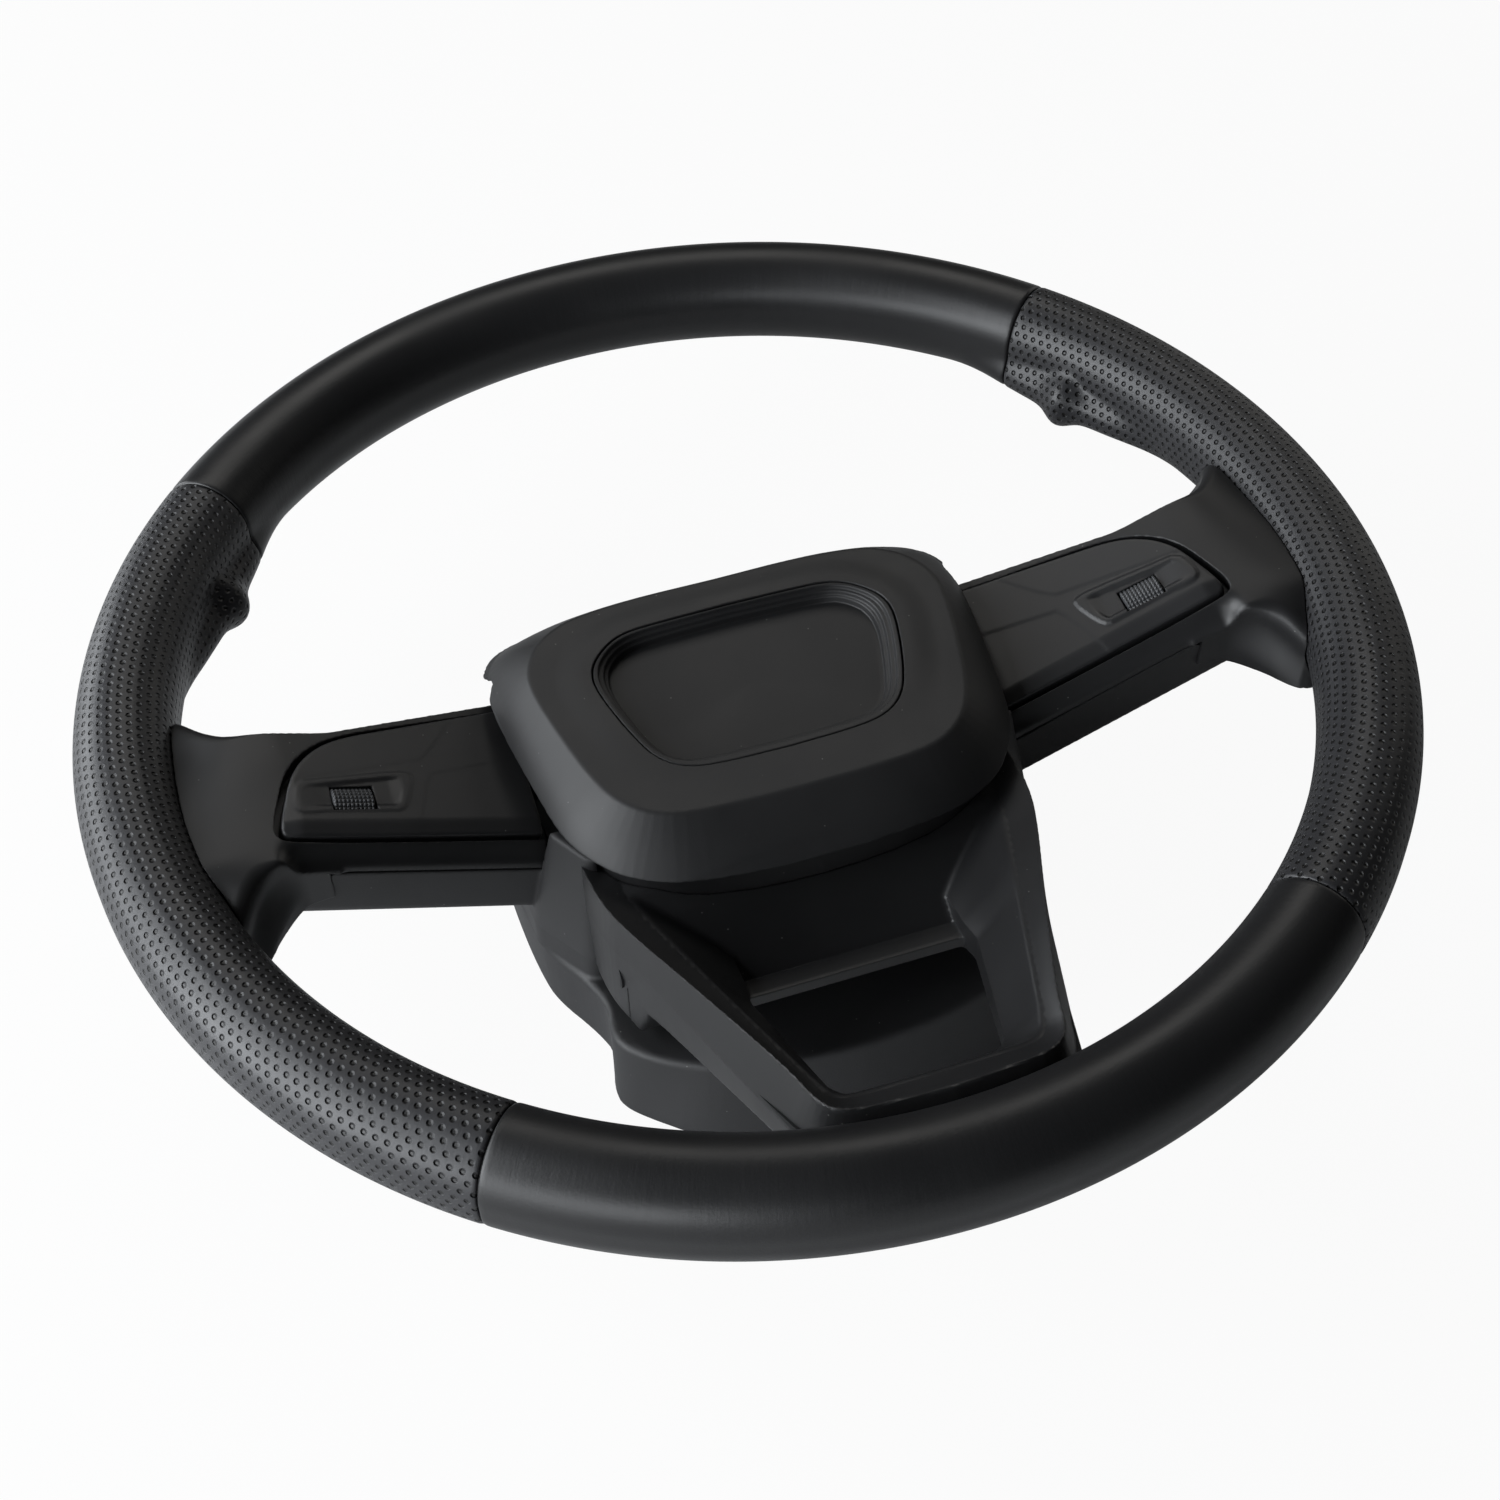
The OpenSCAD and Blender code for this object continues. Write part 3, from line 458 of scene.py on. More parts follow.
def skin(field, low, high, cell):
    """Quads of the field's zero surface in a box: points, faces and a normal for each corner.

    Each grid edge that crosses the surface gives one quad. A point lies where the planes of the
    crossings round its cell meet, so that a crease stays a straight line.
    """
    low, high = np.asarray(low, float), np.asarray(high, float)
    count = np.maximum(2, np.ceil((high - low) / cell).astype(int)) + 1
    f = sample(field, low, count, cell)
    neg = f < 0
    hit, owner = [], []
    for axis in range(3):
        b, c = (axis + 1) % 3, (axis + 2) % 3
        first = [slice(1, -1)] * 3
        first[axis] = slice(0, -1)
        second = list(first)
        second[axis] = slice(1, None)
        at = np.stack(np.nonzero(neg[tuple(first)] != neg[tuple(second)]), -1)
        at += [0 if i == axis else 1 for i in range(3)]
        unit = np.eye(3, dtype=int)[axis]
        fa, fb = f[tuple(at.T)], f[tuple((at + unit).T)]
        start, end = np.zeros(len(at)), np.ones(len(at))
        rising = fa < 0
        for _ in range(3):
            t = start + (end - start) * np.clip(fa / (fa - fb), 0.03, 0.97)
            fm = field(*(low + cell * (at + t[:, None] * unit)).T)
            same = (fm < 0) == (fa < 0)
            start, fa = np.where(same, t, start), np.where(same, fm, fa)
            end, fb = np.where(same, end, t), np.where(same, fb, fm)
        t = start + (end - start) * fa / (fa - fb)
        hit.append(low + cell * (at + t[:, None] * unit))
        ring = []
        for db, dc in ((-1, -1), (0, -1), (0, 0), (-1, 0)):
            q = at.copy()
            q[:, b] += db
            q[:, c] += dc
            ring.append(np.ravel_multi_index(q.T, f.shape))
        ring = np.stack(ring, -1)
        owner.append(np.where(rising[:, None], ring, ring[:, ::-1]))
    hit, owner = np.concatenate(hit), np.concatenate(owner)
    normal = gradient(field, hit, 0.04)
    cells, faces = np.unique(owner, return_inverse=True)
    faces = faces.reshape(-1, 4)

    def gather(values):
        return np.bincount(faces.ravel(), weights=np.repeat(values, 4), minlength=len(cells))

    hits = gather(np.ones(len(hit)))
    middle = np.stack([gather(hit[:, i]) / hits for i in range(3)], -1)
    square = np.stack([np.stack([gather(normal[:, i] * normal[:, j]) for j in range(3)], -1)
                       for i in range(3)], 1)
    along = (normal * hit).sum(1)
    pull = np.stack([gather(normal[:, i] * along) for i in range(3)], -1)
    pull = pull - (square @ middle[..., None])[..., 0]
    pts = middle + np.linalg.solve(square + 0.12 * np.eye(3), pull[..., None])[..., 0]
    corner = low + cell * np.stack(np.unravel_index(cells, f.shape), -1)
    pts = np.clip(pts, corner, corner + cell)
    mean = np.stack([gather(normal[:, i]) / hits for i in range(3)], -1)
    sharp = np.linalg.norm(mean, axis=1) < 0.965
    smooth = gradient(field, pts, 0.12)
    return pts, faces, np.where(sharp[faces][..., None], normal[:, None], smooth[faces])


def cell_size(fine):
    return fine * 1.0


def field_piece(name, node, field, low, high, cell, mat, body="wheel"):
    """Skin a field, put it in the place of a CAD piece, and hand back its form."""
    points, faces, normals = skin(field, low, high, cell_size(cell))
    link_mesh(name, points, faces, mat, body, normals, replaces=(node,))
    return points, faces, normals


def mirrored(points, faces, normals):
    """The left-hand copy of a right-hand form."""
    flip = np.array([-1.0, 1.0, 1.0])
    return points * flip, np.asarray(faces)[:, ::-1], normals[:, ::-1] * flip


print("mesh helpers are ready")

# %% [markdown]
# ## The rim's leather
# The leather is wrapped round the foam and stitched, and its ends are turned in at the seams.
# It is lofted: each ring's radius is found along rays from the section's middle. The thumb rest
# is a ridge along the inner rear side that peaks 31.5 degrees above the spoke and melts into the
# round.
# %%
THUMB_A, THUMB_OFF, THUMB_R = 31.5, 14.0, 9.8
THUMB_DIP = math.radians(33.0)


def section_distance(x, z):
    """Distance to the rim's section, x outwards from its middle and z towards the driver."""
    return np.hypot(x, np.maximum(np.abs(z) - RIM_RISE, 0)) - RIM_HALF


def wrap_radius(angle, psi, rest_sides):
    """Distance from the section's middle to the leather along psi, found by halving."""
    low, high = np.full_like(psi, 6.0), np.full_like(psi, 32.0)
    for _ in range(26):
        r = (low + high) / 2
        x, z = r * np.cos(psi), r * np.sin(psi)
        d = section_distance(x, z)
        for side in rest_sides:
            local = angle if side > 0 else 180.0 - angle
            inner = RIM_R - THUMB_OFF * math.cos(THUMB_DIP)
            along = math.sin(math.radians(local - THUMB_A)) * inner
            size = THUMB_R - 3.4 * (1 - math.exp(-along ** 2 / 30.0)) - 0.0017 * along ** 2
            off = math.hypot(inner, along) - RIM_R
            d = smin(d, np.hypot(x - off, z + THUMB_OFF * math.sin(THUMB_DIP)) - size, 2.6)
        inside = d < 0
        low, high = np.where(inside, r, low), np.where(inside, high, r)
    return (low + high) / 2


def rim_piece(name, a0, a1, mat, node, step_mm, around, rest_sides=()):
    """A length of leather from angle a0 to a1, with its ends turned in at the seams."""
    turn = math.degrees(1.0 / RIM_R)
    gap = 0.15
    tuck = [(gap, 1.6), (gap, 0.9), (gap + 0.08, 0.45), (gap + 0.35, 0.16), (gap + 0.9, 0.03)]
    n = max(8, int((a1 - a0) / turn / step_mm))
    stations = [(a0 + d * turn, dip) for d, dip in tuck]
    stations += [(a0 + (a1 - a0) * i / n, 0.0) for i in range(1, n)]
    stations += [(a1 - d * turn, dip) for d, dip in reversed(tuck)]
    psi = np.linspace(-np.pi / 2, 1.5 * np.pi, around + 1)
    points, uvs = [], []
    for angle, dip in stations:
        r = wrap_radius(angle, psi, rest_sides)
        girth = np.hypot(np.diff(r * np.cos(psi)), np.diff(r * np.sin(psi)))
        girth = np.concatenate([[0], np.cumsum(girth)])
        r = r - dip
        a = math.radians(angle)
        rad = RIM_R + r * np.cos(psi)
        points.append(np.stack([rad * math.cos(a), rad * math.sin(a), RIM_Z + r * np.sin(psi)], -1))
        uvs.append(np.stack([np.full_like(psi, a * RIM_R), girth], -1))
    points, uvs = np.array(points)[:, :around], np.array(uvs)
    faces = ring_quads(len(points), around)[:, ::-1]
    loop_uv = np.stack([uvs[:-1, :-1], uvs[:-1, 1:], uvs[1:, 1:], uvs[1:, :-1]], 2)[:, :, ::-1]
    return link_mesh(name, points.reshape(-1, 3), faces, mat, "wheel", uv=loop_uv, replaces=(node,))


# %%
coarse = 1.0
rim_piece("leather_top_wrap", SEAM_HI, 180 - SEAM_HI, mat_smooth, "leather_top", 1.6 * coarse, 96,
          rest_sides=(1, -1))
rim_piece("leather_bottom_wrap", 180 + SEAM_LO, 360 - SEAM_LO, mat_smooth, "leather_bottom",
          2.0 * coarse, 96)
rim_piece("leather_right_wrap", -SEAM_LO, SEAM_HI, mat_pierced, "leather_right", 1.2 * coarse, 120,
          rest_sides=(1,))
rim_piece("leather_left_wrap", 180 - SEAM_HI, 180 + SEAM_LO, mat_pierced, "leather_left",
          1.2 * coarse, 120, rest_sides=(-1,))

# %% [markdown]
# ## Fields of the rim and of the spokes' frame
# The bezels and the lower spoke end at the leather, so they need the rim's own field to be cut
# by. The switch faces lie in a plane that slopes 21.06 degrees down to the hub and leans 4.4
# degrees back. Its own axes are u outwards, v upwards and w out of the face, and everything on
# the spoke is drawn in them.
# %%
def rim_field(x, y, z):
    return section_distance(np.hypot(x, y) - RIM_R, z - RIM_Z)


lean, slope = math.radians(4.4), math.radians(-21.06)
turn_x = np.array([[1, 0, 0], [0, math.cos(lean), -math.sin(lean)],
                   [0, math.sin(lean), math.cos(lean)]])
turn_y = np.array([[math.cos(slope), 0, math.sin(slope)], [0, 1, 0],
                   [-math.sin(slope), 0, math.cos(slope)]])
SPOKE = turn_y @ turn_x
SPOKE_AT = np.array([100.0, 0.0, RIM_Z - 2.44])


def to_spoke(x, y, z):
    d = [x - SPOKE_AT[0], y - SPOKE_AT[1], z - SPOKE_AT[2]]
    return [SPOKE[0, i] * d[0] + SPOKE[1, i] * d[1] + SPOKE[2, i] * d[2] for i in range(3)]


def from_spoke(u, v, w):
    return [SPOKE_AT[i] + SPOKE[i, 0] * u + SPOKE[i, 1] * v + SPOKE[i, 2] * w for i in range(3)]


def round_outline(pts, radii, n=6):
    """The outline with its corners rounded."""
    pts = np.asarray(pts, float)
    out = []
    for i, p in enumerate(pts):
        a, b = pts[i - 1] - p, pts[(i + 1) % len(pts)] - p
        la, lb = np.linalg.norm(a), np.linalg.norm(b)
        ua, ub = a / la, b / lb
        half = math.acos(max(-1, min(1, float(ua @ ub)))) / 2
        reach = min(radii[i] / math.tan(half), la * 0.49, lb * 0.49)
        for k in range(n + 1):
            t = k / n
            q = (1 - t) ** 2 * (p + ua * reach) + 2 * t * (1 - t) * p + t * t * (p + ub * reach)
            out.append(q)
    return np.array(out)


def both_sides(half):
    return list(half) + [(-x, y) for x, y in reversed(half)]


print("spoke frame ready, normal", np.round(SPOKE[:, 2], 3))

# %% [markdown]
# ## Airbag cover
# The cover is a soft-touch moulding that gives way to the bag. Its top face is a rounded
# trapezium with a crease, the skirt flares out to the cover's edge, and a soft crown runs round
# the recess. The skirt lifts in an arch over each pod's upper edge. A second wall, set back,
# closes the gap to the lower spoke. A field suits it, because face, skirt and crown melt into
# each other. The four outlines are the crease, the skirt's foot and the recess's two edges.
# %%
def corner_heights(node):
    """Heights of the corners of a CAD piece's box, in metres."""
    return [(node.matrix_world @ Vector(corner)).z for corner in node.bound_box]


CUSHION_TOP = max(corner_heights(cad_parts["airbag_cushion"])) / MM - RIM_Z
CREASE = table(both_sides([
    (0, 28.0), (26.4, 28.3), (42.5, 26.6), (50, 23.6), (56.6, 17.8), (60.4, 10), (60.6, 1.3),
    (57.6, -15.2), (54, -30.9), (49.6, -41.3), (42.6, -48.2), (33.3, -51.7), (13, -52.6),
    (0, -52.6)]))
SKIRT = table(both_sides([
    (0, 36.0), (40, 36.0), (56, 35.2), (65, 31.6), (69.8, 24), (70.6, 12), (69.8, -2), (68.6, -14),
    (67.4, -24), (66.4, -33), (64.8, -41), (60.8, -49.6), (53.7, -58.8), (42.6, -65.2), (31, -68.2),
    (14.6, -69.9), (0, -70.3)]))
GROOVE = table(both_sides([
    (0, 16.9), (19, 16.6), (29.7, 16.1), (35.1, 14), (39.9, 10), (43.4, 5.1), (44.3, -1.4),
    (41.9, -12.9), (38.6, -23.9), (35.5, -30.7), (30.2, -35.7), (21.9, -38.1), (0, -38.6)]))
FLOOR = table(both_sides([
    (0, 14.3), (29.0, 13.4), (34.8, 10.4), (38.6, 5.4), (39.2, -2.3), (36.4, -13.8), (33.4, -23.5),
    (29.6, -28.6), (24, -30.8), (0, -31.2)]))
CROWN, COVER_WALL, COVER_THICK = 0.8, 2.4, 8.8
SKIRT_DROP, SKIRT_BULGE, SKIRT_FOOT = 12.6, 1.3, -7.0
ARCH_Y, ARCH_RISE = 20.5, 2.6
APRON_IN, APRON_FOOT = 5.2, -20.0
print("the cushion's top is", round(CUSHION_TOP, 2), "mm above the rim's middle plane")


# %%
def cover_face(x, y):
    """Height of the top face above the rim's middle plane."""
    return 6.2 + 0.03 * y + CROWN * step(-GROOVE(x, y), -11.0, -2.0) * step(y, -42.0, -12.0)


def cover_floor(y):
    # The floor levels out where the folded cushion lies just below it
    return smax(0.9 + 0.085 * y, CUSHION_TOP + 0.35, 0.8)


def cover_field(x, y, z):
    z = z - RIM_Z
    face = cover_face(x, y)
    t = np.clip((face - z) / SKIRT_DROP, -0.3, 1.25)
    bulge = SKIRT_BULGE * np.sin(np.clip(t, 0, 1) * np.pi)
    rim = SKIRT(x, y)
    side = (1 - t) * CREASE(x, y) + t * rim - bulge
    # A faint fold crosses the lower skirt, highest at the middle
    fold = 0.6 + 0.4 * (x / 46.0) ** 2
    side = side + 0.25 * step(t, fold - 0.06, fold + 0.06) * step(-y, 44.0, 56.0)
    side = side * 0.62
    out = smax(side, z - face, 0.5)
    out = smax(out, -smax(GROOVE(x, y), cover_floor(y) - 1.2 - z, 0.2), 0.3)
    roof = np.minimum(face - COVER_THICK, cover_floor(y) - 3.4)
    out = smax(out, -smax(side + COVER_WALL, z - roof, 2.0), 0.6)
    over = step(np.abs(x), 58.0, 64.0)
    arch = ARCH_RISE * np.exp(-((y - ARCH_Y) / 2.8) ** 2)
    low = SKIRT_FOOT + over * (arch - 0.4 * step(y, 24.5, 26.5))
    out = smax(out, low - z, 0.6)
    back = rim + APRON_IN
    wall = smax(np.maximum(back, -back - 2.6), np.maximum(y + 42.0, APRON_FOOT - z), 0.6)
    return np.minimum(out, smax(wall, z + 5.0, 0.3))


field_piece("airbag_cover_skin", "airbag_cover", cover_field, (-73, -73, RIM_Z - 21),
            (73, 39, RIM_Z + 9.5), 0.72, mat_cover, "horn_module")

# %% [markdown]
# ## The recess of the airbag cover
# A fine line parts the recess from the face, and its sides go down in three steep steps to the
# bare floor. The steps are finer than the field's grid, so this piece is lofted in rings between
# the two outlines. Each strip has one normal across, which keeps the edges between steps sharp.
# %%
def even(points, n):
    """The closed outline as n points at equal distances, from its top middle."""
    p = points[np.argsort(np.abs(points[:, 0]) - 1000.0 * (points[:, 1] > 0))[0]:]
    p = np.concatenate([p, points[:len(points) - len(p)]])
    loop = np.concatenate([p, p[:1]])
    far = np.concatenate([[0], np.cumsum(np.hypot(*np.diff(loop, axis=0).T))])
    at = np.linspace(0, far[-1], n, endpoint=False)
    return np.stack([np.interp(at, far, loop[:, i]) for i in (0, 1)], -1)


def recess_insert():
    n = 480
    outer, inner = even(GROOVE.points, n), even(FLOOR.points, n)
    across = np.linalg.norm(inner - outer, axis=1)[:, None]
    face, floor = cover_face(*outer.T), cover_floor(outer[:, 1])
    drop = face - floor - 0.3
    # Each station is the share of the way in, a shift in millimetres, and the share of the depth
    profile = [(0, 0.42, 1.2), (0, 0.42, 0.12), (0, 0.50, 0.03), (0, 0.75, 0.0), (0.34, 0, 0.02),
               (0.34, 0.22, 0.05), (0.36, 0.3, 0.22), (0.36, 0.45, 0.26), (0.66, 0, 0.30),
               (0.66, 0.2, 0.34), (0.68, 0.3, 0.54), (0.68, 0.5, 0.58), (0.92, 0, 0.62),
               (0.92, 0.15, 0.66), (0.98, 0.1, 0.96), (1.0, 0.25, 1.0), (1.0, 1.5, 1.0)]
    rings = []
    for share, shift, deep in profile:
        at = outer + (inner - outer) * (share + shift / across)
        z = face - 0.3 - drop * deep
        if deep >= 0.96:
            z = np.minimum(z, cover_floor(at[:, 1]) + (1.0 - deep) * 4.0) if deep <= 1.0 else floor - 1.0
        rings.append(np.column_stack([at, z]))
    middle = np.array([0.0, -8.0])
    for share in (0.4, 0.8, 0.999):
        at = rings[-1][:, :2] + (middle - rings[-1][:, :2]) * share
        rings.append(np.column_stack([at, cover_floor(at[:, 1])]))
    ahead = np.roll(rings[0], -1, 0) - np.roll(rings[0], 1, 0)
    up = np.cross(ahead, np.diff(rings, axis=0))
    up /= np.maximum(np.linalg.norm(up, axis=-1), 1e-9)[..., None]
    after = np.roll(up, -1, 1)
    faces, normals = ring_quads(len(rings), n), np.stack([up, after, after, up], 2).reshape(-1, 4, 3)
    if normals[-1, 0, 2] < 0:
        faces, normals = faces[:, ::-1], -normals[:, ::-1]
    return np.concatenate(rings) + np.array([0, 0, RIM_Z]), faces, normals


pts, faces, normals = recess_insert()
link_mesh("airbag_cover_recess", pts, faces, mat_cover, "horn_module", normals,
          replaces=("airbag_cover",))

# %% [markdown]
# ## Spoke bezels
# Each bezel is one moulding: a tray round the switch face that falls away to the leather in a
# soft saddle, with a lower corner that folds down on to the spoke. The rail along the lower edge
# slopes down and out below the face. A gap of 0.3 mm at the leather is the tuck line. The tray is
# drawn in the spoke's axes and the saddle in the wheel's, and smin joins the two.
# %%
TUCK, TRAY_BACK, POCKET_DEPTH, RAIL_DROP = 0.3, -8.5, 7.6, 6.0
SADDLE_X, SADDLE_RUN = 137.0, 22.0
BEZEL = table(round_outline([
    (-37, 22.4), (17.5, 10.4), (41.5, 9), (41.5, -28), (37.5, -32.6), (-37, -32.6)],
    [0.5, 8, 5, 8, 6, 0.5]), 0)
POCKET = table([
    (-40, 18.5), (-40, 19.6), (-38, 19.2), (0, 11.9), (17.9, 8.0), (27.2, 2.2), (32.8, -5.2),
    (36.4, -15.6), (38.3, -22.2), (37.8, -26.6), (33.2, -27.9), (-38, -27.7), (-40, -27.7),
    (-40, -25)], 3)
FLARE = table([
    (120, 8.6), (130, 9.0), (137, 10.2), (142, 12.4), (147, 16.2), (151, 21), (154, 26.5),
    (156, 31), (159, 34), (168, 34), (168, -50), (152, -50), (148.6, -45), (145.5, -40),
    (141.5, -36), (136, -33.4), (130, -32.4), (120, -32)], 2)
# Height of the saddle's outer edge at the leather, from the lower tip to the upper one
EDGE_AT = np.linspace(-60, 45, 211)
edge_high = np.interp(EDGE_AT, [-50, -41, -32, -22, -6, 11, 23, 29, 34],
                      [-2, 4, 9, 8.4, 7.8, 6.4, 6.0, 2.5, -1.5])
for _ in range(60):
    edge_high[1:-1] = (edge_high[:-2] + 2 * edge_high[1:-1] + edge_high[2:]) / 4
print("saddle's edge between", round(edge_high.min(), 1), "and", round(edge_high.max(), 1), "mm")


# %%
def bezel_field(x, y, z):
    u, v, w = to_spoke(x, y, z)
    q = z - RIM_Z
    corner = 1.0 - step(u, 31.0, 40.0)
    lip = -1.0 - RAIL_DROP * step(-v, 26.0, 33.5) * corner
    run = (x - SADDLE_X) / SADDLE_RUN
    ridge = 11.9 + 0.077 * y
    fall = ridge + (np.interp(y, EDGE_AT, edge_high) - ridge) * np.clip(run, -1.0, 1.3)
    top = smax((w - lip) * 0.85, (q - fall) * 0.85, 5.0)
    foot = 3.5 * step(fall - q, 7.0, 20.0) * step(x, 132.0, 142.0)
    plan = smin(BEZEL(u, v), FLARE(x, y) - foot, 2.5)
    soft = 1.2 + 3.2 * step(x, 136.0, 146.0)
    out = smax(plan, top, soft)
    low = np.maximum(-14.0 - q, (126.0 - x) * 0.7)
    out = smax(out, np.minimum(TRAY_BACK - w, low), 0.4)
    out = smax(out, TUCK - rim_field(x, y, z), 0.35)
    hole = smax(POCKET(u, v), -POCKET_DEPTH - w, 0.5)
    return smax(out, -hole, 0.6)


form = field_piece("bezel_right_skin", "bezel_right", bezel_field, (62, -54, RIM_Z - 30),
                   (164, 38, RIM_Z + 17), 0.8, mat_bezel)
pts, faces, normals = mirrored(*form)
link_mesh("bezel_left_skin", pts, faces, mat_bezel, "wheel", normals, replaces=("bezel_left",))

# %% [markdown]
# ## Switch faces
# A face is a thin moulded panel with a raised ring round a shallow dish, which holds the
# roller's window. Two faint creases divide the rest of the panel. The ring and the dish are
# stronger on the right face than on the left one, as in the photograph, so one function takes
# their heights. They are steps in the height of the panel, soft at both ends.
# %%
FACE_THICK = 5.0
POD = table([
    (-36, 17.5), (-36, 18.7), (-34, 18.25), (0, 10.7), (17.5, 6.8), (26, 1.2), (31.2, -6),
    (34.6, -16), (36.4, -22.3), (36.0, -25.4), (32.5, -26.5), (-34, -26.2), (-36, -26.2),
    (-36, -24)], 3)
RING = table([
    (-2.4, -6.7), (-0.4, -5.2), (6.9, -5.7), (23.7, -7.8), (29.8, -8.3), (32.2, -15), (31.8, -18.3),
    (29.4, -19.2), (22.7, -18.6), (6.6, -18.6), (3.1, -18.6), (0.9, -15.9)], 1, 0.25)
WINDOW = [(9.6, -10.0), (21.6, -10.4), (21.8, -18.4), (9.5, -18.2)]
UPPER = [(-40, 30), (-18.6, 15.3), (-9.8, 3.4), (-5.5, -0.8), (31.7, -7.9), (60, -13), (60, 60),
         (-40, 60)]
LOWER = [(-60, 4.2), (-28.9, -1.0), (-7.9, -5.9), (-5.9, -9.2), (-1.1, -24.6), (-0.5, -40),
         (-60, -40)]


def face_field(ring_up, dish, crease):
    def field(u, v, w):
        d = RING(u, v)
        top = crease * (step(-poly(u, v, UPPER), -0.8, 0.8) - step(-poly(u, v, LOWER), -0.8, 0.8))
        top = top + ring_up * step(-d, -0.9, 0.5)
        sink = step(-d, 1.2, 2.6) * step(u, 0.5, 5.5) * (1.0 - step(u, 21.0, 30.5))
        top = top - (dish + ring_up) * sink
        top = top - 1.2 * step(-v, 21.0, 27.0) - 1.3 * step(u, 30.5, 37.0)
        out = smax(POD(u, v), w - top, 1.0)
        out = smax(out, -FACE_THICK - w, 0.4)
        hole = smax(poly(u, v, WINDOW), -10.0 - w, 0.3)
        return smax(out, -hole, 0.35)
    return field


# %%
for side, ring_up, dish, crease in ((1, 0.5, 0.6, 0.10), (-1, 0.18, 0.25, 0.04)):
    pts, faces, normals = skin(face_field(ring_up, dish, crease), (-38, -29, -6.5), (40, 22, 3.5),
                               cell_size(0.6))
    pts = np.stack(from_spoke(*pts.T), -1)
    normals = normals @ SPOKE.T
    if side < 0:
        pts, faces, normals = mirrored(pts, faces, normals)
    word = "right" if side > 0 else "left"
    link_mesh("switch_face_" + word + "_skin", pts, faces, mat_face, word + "_face", normals,
              replaces=("switch_face_" + word,))

# %% [markdown]
# ## Thumb rollers
# The roller is a ribbed moulding on a thin axle. Its grip is cut both ways, which leaves ten
# rows of small blunt teeth along it. Cosines round and along the roller give the teeth, and the
# rings of the loft are close enough to carry them as geometry.
# %%
ROLLER_AT = np.array([15.75, -14.4, -4.6])


def roller(side):
    teeth, rows, per = 28, 10, 6
    length, radius, axle = 11.4, 5.6, 1.2
    ring = []
    n = teeth * per
    stations = np.linspace(-length / 2, length / 2, rows * per + 1)
    angle = np.arange(n) * 2 * np.pi / n

    def hoop(s, r):
        return np.stack([np.full(n, s), r * np.cos(angle), r * np.sin(angle)], -1)

    around = 0.5 + 0.5 * np.cos(teeth * angle)
    for s in stations:
        along = 0.5 - 0.5 * np.cos(2 * np.pi * rows * (s / length + 0.5))
        end = 0.35 * max(0.0, 1.0 - (length / 2 - abs(s)) / 0.5)
        r = radius - 0.55 + 0.55 * np.minimum(around, along) ** 0.7 - end
        ring.append(hoop(s, r))
    tip = length / 2 + 1.6
    for s, r in ((length / 2, axle + 1.2), (length / 2 + 0.3, axle), (tip, axle), (tip, 0.01)):
        ring.append(hoop(s, r))
        ring.insert(0, hoop(-s, r))
    local = np.concatenate(ring) + ROLLER_AT
    faces = ring_quads(len(ring), n)[:, ::-1]
    pts = np.stack(from_spoke(*local.T), -1)
    if side < 0:
        pts, faces = pts * np.array([-1.0, 1.0, 1.0]), faces[:, ::-1]
    word = "right" if side > 0 else "left"
    return link_mesh("thumb_roller_" + word + "_grip", pts, faces, mat_roller, word + "_roller",
                     replaces=("thumb_roller_" + word,))


roller(1)
roller(-1)

# %% [markdown]
# ## Lower spoke
# The lower spoke is one open moulding. Its front band falls inwards to a crease, the funnel's
# side walls run on down to the opening, and the panel under the airbag cover ends in a ledge
# above it. The plan outline grows from front to rear, as the draft of a mould needs, which also
# keeps the casting's arm inside the wall. The other outlines are the crease, the mouth, and the
# side views of the frame and of its panel.
# %%
DRAFT_DEPTH, BAND_FALL = 14.0, 3.4
YOKE_FRONT = table([
    (-40, -40), (61.9, -40), (61.7, -50.2), (60.4, -64), (55.8, -78.8), (49.2, -96.3),
    (38.6, -125.6), (34.3, -138.5), (32.2, -148), (28.5, -153.2), (20, -155.4), (-20, -157.4),
    (-40, -157)], 2)
YOKE_REAR = table([
    (-40, -40), (62.6, -40), (62.3, -50.2), (61.2, -64), (57.4, -75.0), (52.4, -92), (43.5, -124.5),
    (39.5, -138.5), (36.5, -150), (32, -158), (20, -163), (-40, -164)], 2)
CREASE_LOW = table(round_outline([
    (-40, -30), (54, -30), (53, -60), (50.6, -71), (27.5, -148.3), (-40, -149.6)],
    [0.1, 0.1, 3, 8, 8, 0.1]), 0)
MOUTH_LOW = table(round_outline([
    (-40, -30), (30, -30), (30.6, -90), (31.5, -97), (22.3, -137.4), (-40, -138.2)],
    [0.1, 0.1, 2, 6, 7, 0.1]), 0)
SIDE_VIEW = table([
    (-40, -11.8), (-166, 10.7), (-166, -10.5), (-132, -20), (-90, -33.4), (-81, -37), (-76, -50),
    (-54.3, -50), (-40, -46)], 0)
PANEL_VIEW = table([
    (-40, 30), (-40, -8), (-58, -14), (-65, -17.8), (-84, -30), (-90.5, -28.7), (-90.5, -100),
    (-220, -100), (-220, 30)], 0)
print("lower spoke outlines:", len(YOKE_FRONT.points), "and", len(YOKE_REAR.points), "points")


